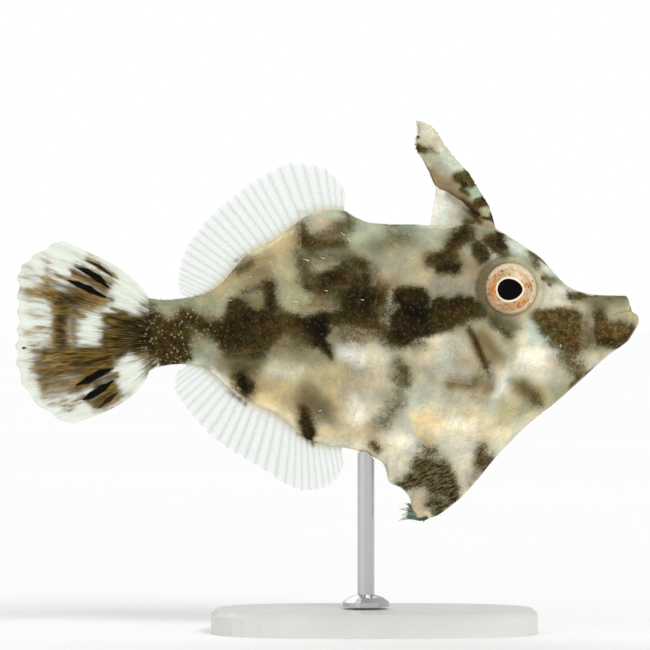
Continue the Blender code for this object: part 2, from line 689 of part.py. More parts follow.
def stand_base():
    """A low rounded slab with a chamfered rim."""
    def outline(inset, height):
        half_x, half_y = (size - inset for size in STAND_BASE_HALF_SIZE)
        ring = []
        for turn in turns(STAND_BASE_SIDES):
            x = math.copysign(abs(math.cos(turn)) ** STAND_BASE_SQUARENESS, math.cos(turn))
            y = math.copysign(abs(math.sin(turn)) ** STAND_BASE_SQUARENESS, math.sin(turn))
            ring.append((STAND_BASE_CENTRE_X + half_x * x, half_y * y, height - AXIS_HEIGHT))
        return ring

    rings = [
        outline(0, 0),
        outline(0, STAND_BASE_HEIGHT - STAND_BASE_CHAMFER),
        outline(STAND_BASE_CHAMFER, STAND_BASE_HEIGHT),
    ]
    return paint(loft("stand_base", rings), (0.80, 0.80, 0.78), 0.4)


def stand_rod(body):
    """One rod with a flared foot, hollowed at its top to seat the belly."""
    floor = STAND_BASE_HEIGHT + GAP - AXIS_HEIGHT
    profile = (
        (STAND_FOOT_RADIUS, floor), (STAND_FOOT_RADIUS, floor + STAND_FOOT_HEIGHT * 0.5),
        (STAND_FOOT_RADIUS * 0.72, floor + STAND_FOOT_HEIGHT),
        (STAND_ROD_RADIUS, floor + STAND_FOOT_HEIGHT * 1.3), (STAND_ROD_RADIUS, FLAP_TOP + 3.0),
    )
    rings = [
        [(STAND_ROD_X + r * math.cos(a), r * math.sin(a), height) for a in turns(STAND_ROD_SIDES)]
        for r, height in profile
    ]
    obj = loft("stand_rod", rings)
    boolean(obj, "DIFFERENCE", [grown(body, GAP)])
    return paint(obj, (0.72, 0.72, 0.72), 0.3, metallic=1.0)


def main():
    for obj in list(bpy.data.objects):
        bpy.data.objects.remove(obj)
    body = whole_body("body")
    surface = surface_of(body)
    eyes = [eye("eye_right", -1, surface), eye("eye_left", 1, surface)]
    head(eyes, surface)
    jaw("upper_jaw", above=True)
    jaw("lower_jaw", above=False)
    torso()
    tail_stem()
    pelvic_flap()
    pelvic_scute()
    spine = dorsal_spine(body)
    spine_membrane(body, spine)
    spine_barbs(spine)
    dorsal_fin(body)
    anal_fin(body)
    caudal_fin(body)
    pectoral_fin("pectoral_fin_right", -1, body, surface)
    pectoral_fin("pectoral_fin_left", 1, body, surface)
    stand_base()
    stand_rod(body)
    bpy.data.objects.remove(body)


widest = smooth_line(HALF_WIDTHS)
main()
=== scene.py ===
"""Aiptasia-eating filefish on its display stand: the dressed model, the light and the camera.

Sizes in the tables are millimetres on the fish's side view: x forward, height from its long axis.
Markings are placed on a plan of the right side, whose unit is PLAN_UNIT millimetres.
"""

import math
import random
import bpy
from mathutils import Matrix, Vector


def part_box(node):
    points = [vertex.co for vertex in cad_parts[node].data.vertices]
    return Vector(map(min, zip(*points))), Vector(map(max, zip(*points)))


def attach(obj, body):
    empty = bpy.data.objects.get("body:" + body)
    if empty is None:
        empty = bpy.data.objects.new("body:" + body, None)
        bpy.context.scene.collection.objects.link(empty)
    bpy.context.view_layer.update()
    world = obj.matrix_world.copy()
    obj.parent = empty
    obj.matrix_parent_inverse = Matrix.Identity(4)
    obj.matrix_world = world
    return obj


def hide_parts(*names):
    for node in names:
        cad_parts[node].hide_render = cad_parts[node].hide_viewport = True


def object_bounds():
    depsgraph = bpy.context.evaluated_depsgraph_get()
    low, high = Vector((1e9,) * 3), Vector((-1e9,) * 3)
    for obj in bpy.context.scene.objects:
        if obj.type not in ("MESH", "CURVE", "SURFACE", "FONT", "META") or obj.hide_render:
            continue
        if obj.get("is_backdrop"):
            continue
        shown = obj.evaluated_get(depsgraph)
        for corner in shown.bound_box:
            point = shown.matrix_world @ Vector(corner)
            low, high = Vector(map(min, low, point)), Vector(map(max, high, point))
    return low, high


bl_info = {
    "name": "Filefish on a stand",
    "version": (1, 0, 0),
    "blender": (4, 5, 0),
    "location": "3D View > Sidebar > Filefish",
    "description": "Builds the skin, fins, spine, eyes and stage of a life-size filefish",
    "category": "Add Mesh",
}

import bmesh
import bpy
import numpy as np
from bpy.props import FloatProperty, FloatVectorProperty, PointerProperty
from mathutils import Vector
from mathutils.bvhtree import BVHTree

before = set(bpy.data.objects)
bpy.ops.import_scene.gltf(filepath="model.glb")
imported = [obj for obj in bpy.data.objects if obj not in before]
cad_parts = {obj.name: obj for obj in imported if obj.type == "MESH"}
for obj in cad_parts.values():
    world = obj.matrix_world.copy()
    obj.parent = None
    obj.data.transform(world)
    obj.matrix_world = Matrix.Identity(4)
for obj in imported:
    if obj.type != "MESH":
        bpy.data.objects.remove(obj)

MM = 0.001
AXIS_HEIGHT = 39.5
PLAN_UNIT = 0.1286
PLAN_MIDDLE = (327.8, 324.9)
PLAN_DISTANCE = 600.0  # from which the plan is seen, so that nearer skin fills more of it

# Body ribs from tail to lips: each joins a point of the back to one of the underside.
BODY_RIBS = (
    (-23.0, 3.5, -23.0, -6.0), (-20.9, 3.3, -21.2, -5.3), (-18.6, 3.5, -19.0, -5.1),
    (-16.0, 4.1, -16.7, -5.3), (-14.4, 4.9, -14.8, -6.3), (-12.8, 6.5, -13.1, -7.9),
    (-10.9, 8.7, -11.3, -9.4), (-8.5, 10.2, -9.1, -10.4), (-5.9, 11.8, -6.8, -11.5),
    (-3.4, 13.7, -4.7, -13.1), (-1.0, 14.7, -3.1, -14.5), (1.6, 14.9, -1.3, -15.3),
    (3.8, 13.8, 0.8, -15.7), (5.6, 13.2, 2.9, -16.0), (9.2, 13.0, 7.1, -17.9),
    (11.0, 13.0, 7.9, -20.3), (12.8, 12.9, 9.4, -21.0), (13.9, 12.9, 10.6, -22.6),
    (15.6, 12.9, 10.9, -24.9), (17.1, 13.0, 13.3, -24.8), (18.8, 13.1, 16.4, -22.9),
    (20.6, 13.0, 19.3, -19.9), (21.9, 12.3, 21.5, -17.2), (25.7, 9.9, 25.6, -13.0),
    (27.5, 8.6, 27.4, -11.5), (29.0, 6.9, 29.2, -10.1), (31.5, 4.7, 32.7, -7.0),
    (35.0, 3.9, 35.9, -4.1), (38.4, 3.8, 38.7, -2.0), (38.8, 2.9, 39.5, -0.8),
    (38.9, 2.0, 40.1, 0.3), (39.7, 1.4, 40.0, 1.0),
)
HALF_WIDTHS = (
    (-23.3, 1.2), (-18.6, 1.6), (-10.0, 2.8), (0.0, 4.0), (9.0, 4.7), (17.0, 4.9), (22.0, 4.7),
    (27.0, 3.9), (32.0, 2.8), (36.4, 2.0), (37.6, 1.75), (38.6, 1.7), (39.4, 1.3), (40.0, 0.5),
)
SECTION_FULLNESS = 2.3
SECTION_ROUNDING = 0.62
TAIL_TAPER = 0.55  # how much the skin thins where it runs onto the tail fin
FLAP_TOP = -18.0
FLAP_HALF_THICKNESS = 1.0
FLAP_EDGE_HALF_THICKNESS = 0.5
FLAP_ROUNDING = 1.2
SKIN_SPACING = 0.37
SKIN_ROWS = 150
SKIN_SUNK = 0.06  # below the solids, so that the bristles end near their surface
SKIN_LEVEL = np.array((0.84, 0.82, 0.75))  # share of a tone's light the skin returns on this stage
LEFT_DRIFT = 6.0  # how far the left flank's marks stray from the right flank's
# Share by which skin that faces down is lightened: partly the fish's pale underside, partly painted fill
# light against the shade beneath.
UNDERSIDE_PALENESS_AND_PAINTED_FILL = 0.28
EDGE_DRIFT = 3.2  # how far marks stray where the skin turns from one flank to the other
MARK_SWAY = ((2.6, 0.22), (1.1, 0.35), (0.5, 0.3))  # lumps of the noise that bends marks: size and share
LEFT_SWAY = 6  # how much more the largest lumps bend them on the left flank
MARK_OVERLAP = 0.45  # how much two dark marks deepen each other where they meet
FLESH_NODES = ("head", "upper_jaw", "lower_jaw", "torso", "tail_stem", "pelvic_flap")
FOLD_SLANT = 0.45
FLAP_FOLDS = 0.09  # height of the flap's folds
SKIN_LUMPS = 0.12
SKIN_DIMPLES = 0.05
WELL_CLEAR = 50  # beside the fish, where rays that look for its skin start
DOT_CELLS = 1800  # pale dots on dark skin: how many lie along a metre, their edge and their colour
DOT_EDGE = (0.38, 0.18)
DOT_COLOUR = (0.3, 0.25, 0.15, 1)
BRISTLE_RISE = 0.75  # how far bristles stand up, against their lean to the tail
BRISTLE_LEAN = (-0.9, 0, -0.1)
BRISTLE_SPREAD = (0.6, 1.3)  # shortest and longest, as shares of the length
BRISTLE_WIDTH = 0.16  # radius at the root, as a share of the length
TUFT_PATCH = 0.003  # size of a bristle's patch on the unwrap

EYE = (23.3, 4.5)
EYE_RADIUS = 3.45
EYE_HALF_DEPTH = 1.9
EYE_SIDES = 96
SOCKET_DEPTH = 2.4
SOCKET_EDGE = (2.95, 3.34)
ORBIT_RIM = (3.95, 0.3, 0.3)  # radius, half width and height of the raised skin round the eye
ORBIT_LIP = (3.2, 3.6)  # the rim fades inwards between these radii
ORBIT_FURROW = (0.75, 0.3, 0.12)  # beyond the rim: distance from it, half width and depth
EYE_GATHER = ((0, 1.6, 3.4, 5.4, 6.5), (0, 2.85, 3.65, 5.3, 6.5))  # radii of the even and the gathered mesh
EYE_REAR_RINGS = (0.45, 0.75, 0.95)  # as shares of the way back
PUPIL_RINGS = 9
IRIS_RINGS = 22
PUPIL_MIDDLE = (-0.08, 0.01)  # from the eye's middle, as shares of its radius
PUPIL_REACH = (0.4, 0.5, 0.4)  # behind, ahead and across
PUPIL_SWELL = 0.06
IRIS_DIP = 0.05
IRIS_FIBRES = 9
# Soft spots on the iris: place, half sizes and strength, as shares of the eye's radius.
WARM_SPOTS = (
    (-0.64, 0.0, 0.2, 0.45, 1.2), (0.7, 0.2, 0.16, 0.2, 0.9),
    (0.5, -0.5, 0.24, 0.2, 1.0), (-0.1, -0.62, 0.35, 0.14, 0.7),
)
DUSKY_SPOTS = (
    (0.82, 0.12, 0.12, 0.2, 1.2), (0.6, -0.58, 0.14, 0.16, 0.7), (-0.4, 0.55, 0.25, 0.25, 0.6),
    (-0.92, 0.0, 0.14, 0.45, 0.8), (-0.15, -0.75, 0.5, 0.15, 0.3),
)
IRIS_TONES = {
    "fibre": (190, 150, 104), "fleck": (204, 172, 130), "dusk": (138, 108, 72),
    "rim": (224, 212, 178), "pupil ring": (246, 232, 208), "outer line": (206, 192, 162),
}
# Tones of the skin round the eye, behind and ahead of it, and next to the eyeball: darker behind and
# lighter ahead, partly the fish's own tones and partly painted shade and painted light.
RING_SHADE_AND_LIGHT_TONES = ((86, 76, 50), (184, 180, 148))
RIM_SHADE_AND_LIGHT_TONES = ((118, 98, 70), (160, 148, 118))
RING_MARK_TONE = (80, 74, 52)
# Painted shade in the creases and nostrils, for the pale and the dark tones.
CREASE_SHADE_TONES = ((112, 76, 50), (70, 44, 22))  # pale and dark
NOSTRILS = ((27.6, 6.0), (28.5, 5.2))
NOSTRIL_GATHER = ((0, 0.6, 1.3), (0, 0.34, 1.3))
NOSTRIL_DEPTH = 0.4
CREASE_PULL = 0.65  # how far the mesh gathers to a crease, as a share of its distance
GILL_SLIT = ((18.0, -0.3), (18.75, -1.8), (19.35, -3.2), (19.85, -4.8), (20.3, -6.1))
MOUTH_LINE = ((36.3, 1.15), (37.4, 1.6), (38.95, 1.85))
# Creases of the skin: line, reach of the gathered mesh, depth, half width, height of the rear lip.
CREASES = ((GILL_SLIT, 1.4, 0.26, 0.26, 0.12), (MOUTH_LINE, 0.9, 0.1, 0.08, 0.03))

# Fin rays from front to back, each from its foot to its tip.
DORSAL_RAYS = (
    (2.1, 15.0, 2.3, 17.3), (0.3, 14.9, -0.5, 20.2), (-2.4, 14.1, -4.6, 20.8),
    (-4.9, 12.3, -8.5, 19.1), (-6.8, 10.9, -11.3, 17.2), (-9.4, 9.6, -14.0, 15.0),
    (-11.3, 8.2, -16.4, 12.5), (-12.8, 6.5, -18.1, 10.1), (-14.4, 5.0, -19.1, 7.3),
    (-16.0, 4.1, -19.3, 5.5), (-18.0, 3.5, -19.0, 4.0),
)
ANAL_RAYS = (
    (1.8, -15.8, 2.1, -17.9), (0.3, -15.6, 1.1, -19.8), (-1.4, -15.3, -0.7, -21.0),
    (-3.1, -14.4, -2.9, -21.3), (-4.7, -13.1, -5.4, -20.5), (-6.8, -11.5, -8.5, -18.5),
    (-9.1, -10.4, -11.5, -16.7), (-11.3, -9.4, -14.2, -14.9), (-13.1, -7.9, -16.8, -12.3),
    (-14.8, -6.4, -18.7, -10.0), (-16.3, -5.4, -19.7, -8.0), (-18.0, -5.1, -19.5, -6.1),
)
CAUDAL_RAYS = (
    (-23.0, 3.4, -34.4, 11.0), (-23.0, 2.7, -36.7, 9.7), (-23.0, 1.9, -39.0, 8.1),
    (-23.0, 1.0, -39.9, 6.6), (-23.0, 0.1, -40.0, 4.1), (-23.0, -0.8, -40.0, 1.8),
    (-23.0, -1.7, -40.0, -0.7), (-23.0, -2.6, -40.2, -3.0), (-23.0, -3.4, -40.0, -5.4),
    (-23.0, -4.3, -39.0, -8.3), (-23.0, -5.1, -36.2, -11.2), (-23.0, -5.9, -33.0, -12.9),
)
PECTORAL_RAYS = (
    (19.4, -5.2, 16.7, -1.3), (19.4, -5.7, 14.4, -1.6), (19.3, -6.3, 12.8, -2.8),
    (19.2, -6.8, 12.4, -4.4), (19.0, -7.3, 12.9, -5.8), (18.8, -7.8, 14.4, -7.1),
)
DORSAL_RAY_COUNT = 27
ANAL_RAY_COUNT = 26
CAUDAL_RAY_COUNT = 12
TAIL_BOW = (1.1, 1.4)  # how far the fan's upper and lower edges bow outwards
BOW_FADE = 5  # how fast the bow fades from ray to ray
BOW_SKEW = 0.75  # below 1 is nearer the root
PECTORAL_RAY_COUNT = 11
FIN_SUNK = 1.3
FIN_NOTCH = 0.12  # how far the margin dips between two rays
TAIL_NOTCH = 0.35
MEDIAN_WAVE = (0.5, 1.5)  # a fin's sideways sway at the margin, and how many waves it has
TAIL_WAVE = (0.4, 0.5)
PECTORAL_LIFT = (-0.9, 1.9, 1.1)  # height over the flank: at the root, gained near it, gained by the tip
RAY_WIDTH = 0.17  # of the space that a ray has
PECTORAL_ROWS = 18
TAIL_COLUMNS, TAIL_ROWS = 16, 60
FIN_FOOT_TONE = (206, 190, 150)
FIN_JOINT_TONE = (170, 168, 150)
BLEACHED_TONE = (168, 144, 96)

# The first dorsal spine, as (front x, height, rear x, height, half thickness), and its membrane.
SPINE_RIBS = (
    (21.8, 11.4, 18.3, 11.6, 1.15), (21.4, 13.2, 18.9, 13.5, 1.1), (21.0, 14.6, 18.3, 14.7, 1.05),
    (20.4, 15.9, 17.3, 15.7, 1.0), (19.6, 17.1, 15.7, 16.8, 0.95), (19.0, 18.2, 14.0, 17.7, 0.9),
    (18.3, 19.3, 13.3, 19.0, 0.85), (17.1, 20.6, 12.7, 20.3, 0.8), (15.9, 22.0, 11.9, 21.7, 0.75),
    (15.1, 23.1, 11.3, 22.7, 0.7), (14.4, 24.2, 11.2, 23.6, 0.65), (13.9, 25.0, 11.5, 24.9, 0.55),
    (13.0, 25.8, 11.4, 25.8, 0.4), (12.0, 26.2, 11.3, 26.3, 0.15),
)
MEMBRANE_RAYS = (
    (13.0, 12.9, 14.1, 18.6), (15.1, 12.9, 15.3, 17.9), (16.6, 12.9, 16.9, 17.2),
    (18.0, 12.9, 18.4, 15.9), (19.3, 12.9, 19.6, 14.6),
)
SPINE_RINGS, SPINE_SIDES = 110, 36
# Rows of barbs: count, first and last place, length, side (1 is ahead), shares of the half thickness.
BARB_ROWS = ((8, 8.0, 12.0, 0.11, -1, (-0.3, 0.3)), (18, 2.0, 11.8, 0.08, 1, (-0.12, 0.12)))
BARB_RINGS = ((0.0, 0.15, 0.0), (0.5, 0.1, 0.0), (1.0, 0.02, 0.0))  # share of the way, radius and rise
BARB_SIDES = 6
MEMBRANE_HALF_THICKNESS = 0.28
WEB_COLUMNS, WEB_ROWS = 40, 30
WEB_FOLDS = 5
SCUTE_RINGS, SCUTE_SIDES = 24, 28
SPIKE_RINGS, SPIKE_SIDES = 8, 10
SCUTE_CENTRE = (11.9, -24.3)
SCUTE_HALF_SIZE = (1.5, 0.72, 0.92)
SCUTE_SPIKES = (
    (11.2, -24.7, 9.05, -25.2, 0.0), (11.0, -24.0, 9.15, -23.7, -0.3), (11.3, -23.8, 9.8, -22.9, 0.3),
    (11.2, -24.4, 9.5, -24.5, 0.9), (11.2, -24.4, 9.5, -24.5, -0.9), (12.6, -24.6, 12.3, -25.4, 0.0),
)

# Tones of the skin and fins, as display colours.
TONES = {
    # The near-white (252, 249, 240) is painted light: highlights, pearly reflections and light laid on the
    # body's edges.
    "cream": (240, 228, 194), "pearl": (222, 220, 204), "painted_light": (252, 249, 240),
    "sage": (154, 160, 138), "mint": (186, 200, 180), "stone": (184, 177, 150),
    "sand": (202, 184, 144), "taupe": (152, 134, 106), "olive": (154, 134, 86),
    "khaki": (124, 118, 84), "lilac": (160, 152, 138), "gold": (236, 212, 158),
    "lichen": (184, 180, 146), "ice": (218, 228, 218), "blush": (210, 190, 166),
    "umber": (72, 57, 26), "bark": (46, 36, 14), "pitch": (16, 11, 3),
    "rust": (98, 68, 36), "moss": (78, 74, 40), "smoke": (104, 98, 72),
    "amber": (110, 88, 38), "honey": (182, 158, 116), "oat": (196, 189, 166),
    "hazel": (98, 80, 42), "slate": (112, 132, 128),
}

# Marks on the plan: tone, x, y, radius at one end, x, y, radius at the other, softness, strength.
PALE_MARKS = (
    ("stone", 220, 320, 60, 300, 330, 90, 20, 1.0), ("stone", 400, 262, 26, 470, 278, 24, 14, 1.0),
    ("sage", 340, 238, 20, 400, 244, 20, 14, 1.0), ("oat", 430, 372, 44, 452, 352, 40, 22, 1.0),
    ("mint", 316, 214, 8, 340, 213, 9, 6, 0.9), ("mint", 356, 232, 9, 380, 236, 10, 8, 0.7),
    ("stone", 395, 256, 14, 420, 262, 12, 10, 1.0), ("taupe", 384, 283, 7, 396, 282, 6, 8, 0.7),
    ("lilac", 372, 272, 4, 378, 278, 5, 6, 0.6), ("lilac", 440, 286, 9, 474, 288, 9, 8, 0.9),
    ("taupe", 462, 262, 8, 476, 268, 10, 10, 0.8), ("sage", 412, 236, 8, 446, 238, 8, 8, 0.7),
    ("mint", 392, 232, 6, 430, 230, 7, 7, 0.6), ("khaki", 474, 232, 8, 488, 230, 6, 6, 0.7),
    ("sage", 150, 302, 5, 218, 302, 10, 6, 1.0), ("ice", 160, 366, 4, 214, 360, 12, 8, 0.8),
    ("lichen", 205, 300, 9, 222, 300, 8, 7, 0.8), ("stone", 225, 284, 8, 244, 280, 9, 8, 0.8),
    ("taupe", 248, 270, 10, 272, 272, 9, 9, 0.9), ("sand", 214, 288, 5, 292, 240, 10, 7, 1.0),
    ("sand", 286, 246, 11, 290, 228, 7, 7, 0.9), ("lichen", 282, 266, 8, 290, 300, 10, 8, 1.0),
    ("lichen", 296, 304, 10, 330, 304, 7, 7, 0.9), ("lilac", 324, 303, 5, 336, 303, 5, 5, 0.7),
    ("khaki", 252, 303, 6, 260, 302, 6, 5, 0.9), ("sage", 205, 345, 12, 214, 366, 12, 8, 0.8),
    ("taupe", 226, 362, 10, 248, 364, 10, 9, 0.9), ("lichen", 266, 368, 14, 330, 370, 16, 10, 1.0),
    ("pearl", 274, 370, 7, 294, 372, 8, 8, 0.7), ("sand", 258, 388, 10, 300, 402, 10, 9, 1.0),
    ("gold", 232, 382, 3, 262, 398, 4, 5, 0.8), ("taupe", 300, 356, 7, 330, 358, 7, 8, 0.6),
    ("taupe", 276, 336, 11, 292, 342, 10, 9, 0.7), ("taupe", 338, 338, 8, 380, 338, 7, 6, 0.9),
    ("sand", 330, 380, 8, 338, 420, 8, 9, 0.8), ("taupe", 308, 396, 12, 322, 408, 12, 9, 0.9),
    ("gold", 300, 432, 6, 342, 433, 5, 6, 0.7), ("sand", 346, 380, 5, 352, 380, 4, 6, 0.8),
    # The pearl mark at 352, 345 and the near-white marks at 346, 352 and 354, 400 paint pearly highlights
    # on the flank.
    ("blush", 352, 392, 7, 366, 384, 6, 8, 0.8), ("pearl", 352, 345, 12, 374, 350, 14, 12, 1.0),
    ("painted_light", 346, 352, 7, 358, 358, 8, 7, 0.9), ("painted_light", 354, 400, 5, 360, 416, 6, 6, 0.8),
    ("stone", 374, 378, 7, 384, 392, 7, 8, 0.4), ("blush", 370, 426, 6, 378, 436, 6, 7, 0.8),
    ("blush", 318, 222, 7, 334, 226, 7, 6, 0.8), ("sand", 352, 432, 7, 370, 432, 6, 7, 0.7),
    # The near-white mark at 384, 434 paints a glint.
    ("painted_light", 384, 434, 4, 401, 446, 4, 4, 0.9), ("cream", 358, 446, 6, 396, 452, 8, 8, 0.5),
    ("pearl", 388, 456, 9, 396, 478, 9, 6, 0.9), ("ice", 410, 392, 14, 436, 396, 12, 12, 0.7),
    ("lilac", 424, 388, 10, 452, 398, 8, 10, 0.4), ("ice", 414, 406, 5, 420, 412, 5, 6, 0.8),
    # The near-white mark at 440, 424 paints a highlight on the belly.
    ("cream", 424, 420, 11, 500, 422, 14, 12, 1.0), ("painted_light", 440, 424, 7, 470, 424, 6, 8, 0.8),
    ("gold", 422, 420, 7, 440, 422, 6, 8, 0.7), ("gold", 420, 434, 5, 430, 440, 5, 6, 0.9),
    ("gold", 464, 412, 4, 468, 414, 4, 4, 0.9), ("gold", 480, 440, 4, 486, 438, 4, 5, 0.7),
    # The near-white and cream marks at 426, 340 and 428, 356 paint highlights on the chest.
    ("painted_light", 426, 340, 7, 442, 334, 6, 7, 0.8), ("cream", 428, 356, 7, 440, 350, 7, 8, 0.7),
    ("ice", 444, 356, 8, 448, 372, 8, 8, 0.5), ("olive", 458, 360, 6, 470, 362, 6, 6, 0.6),
    ("blush", 470, 338, 4, 476, 350, 4, 4, 0.9), ("olive", 452, 382, 7, 474, 383, 6, 5, 0.9),
    ("taupe", 472, 384, 6, 490, 388, 8, 7, 0.85), ("blush", 478, 392, 5, 488, 398, 5, 6, 0.5),
    # The ice and near-white marks at 508, 376 and 506, 384 paint a silvery reflection on the cheek.
    ("ice", 508, 376, 4, 490, 410, 5, 4, 1.0), ("painted_light", 506, 384, 2, 500, 396, 2, 3, 0.9),
    ("stone", 504, 404, 7, 516, 408, 7, 7, 0.8), ("hazel", 484, 338, 6, 494, 356, 5, 9, 0.4),
    ("olive", 484, 336, 9, 500, 360, 8, 8, 0.8), ("lichen", 508, 338, 7, 514, 352, 7, 6, 0.8),
    ("sage", 476, 322, 6, 486, 322, 6, 5, 0.8), ("khaki", 498, 318, 6, 512, 326, 6, 6, 0.8),
    # The ice mark at 527, 324 paints a pale blue sheen below the eye, and the near-white mark at 524, 356 a
    # highlight.
    ("ice", 527, 324, 5, 540, 340, 10, 3, 1.0), ("painted_light", 524, 356, 8, 545, 357, 9, 4, 1.0),
    ("gold", 549, 358, 3, 551, 364, 3, 4, 0.6), ("pearl", 520, 372, 5, 550, 374, 5, 5, 0.7),
    ("lilac", 556, 384, 8, 568, 376, 8, 6, 0.3), ("lichen", 505, 415, 12, 560, 392, 12, 12, 0.9),
    ("olive", 516, 384, 7, 534, 392, 8, 7, 0.8), ("mint", 508, 248, 9, 528, 254, 8, 6, 1.0),
    ("sage", 540, 270, 8, 548, 274, 8, 6, 0.9), ("olive", 544, 278, 4, 552, 279, 3, 4, 0.7),
    ("pearl", 543, 294, 9, 562, 296, 10, 6, 0.95), ("stone", 575, 302, 6, 588, 304, 6, 5, 0.8),
    ("lilac", 588, 312, 5, 590, 342, 5, 4, 1.0), ("stone", 596, 300, 7, 626, 302, 8, 5, 1.0),
    ("khaki", 592, 302, 6, 618, 303, 7, 6, 0.55), ("stone", 612, 314, 9, 634, 316, 8, 6, 1.0),
    ("lichen", 628, 312, 5, 637, 318, 5, 5, 0.7), ("lichen", 588, 350, 6, 600, 352, 6, 5, 0.9),
    ("pearl", 594, 358, 5, 586, 364, 5, 5, 0.6), ("lichen", 582, 372, 5, 576, 386, 5, 5, 0.6),
    ("pearl", 463, 456, 13, 462, 482, 11, 8, 1.0), ("lilac", 468, 478, 6, 478, 468, 6, 6, 0.5),
    ("blush", 418, 498, 7, 421, 512, 7, 5, 1.0), ("ice", 404, 516, 6, 414, 518, 6, 4, 0.8),
    # The marks from here to the table's end paint light on the body's lower and upper edges, the brow, the
    # throat and the top of the snout, where the skin turns from the lamps; in part they are the fish's own
    # pale, translucent edges.
    ("painted_light", 204, 372, 5, 228, 386, 5, 6, 0.9), ("cream", 262, 402, 4, 296, 420, 4, 7, 0.8),
    ("cream", 244, 254, 3, 288, 234, 4, 6, 0.9), ("painted_light", 404, 440, 6, 416, 446, 6, 6, 0.8),
    ("pearl", 452, 444, 9, 474, 450, 7, 8, 0.9), ("ice", 510, 243, 7, 528, 250, 5, 5, 1.0),
    ("ice", 541, 264, 5, 553, 274, 4, 4, 1.0), ("painted_light", 560, 288, 4, 566, 292, 4, 4, 0.7),
    ("lichen", 540, 400, 5, 572, 386, 4, 6, 0.8),
)
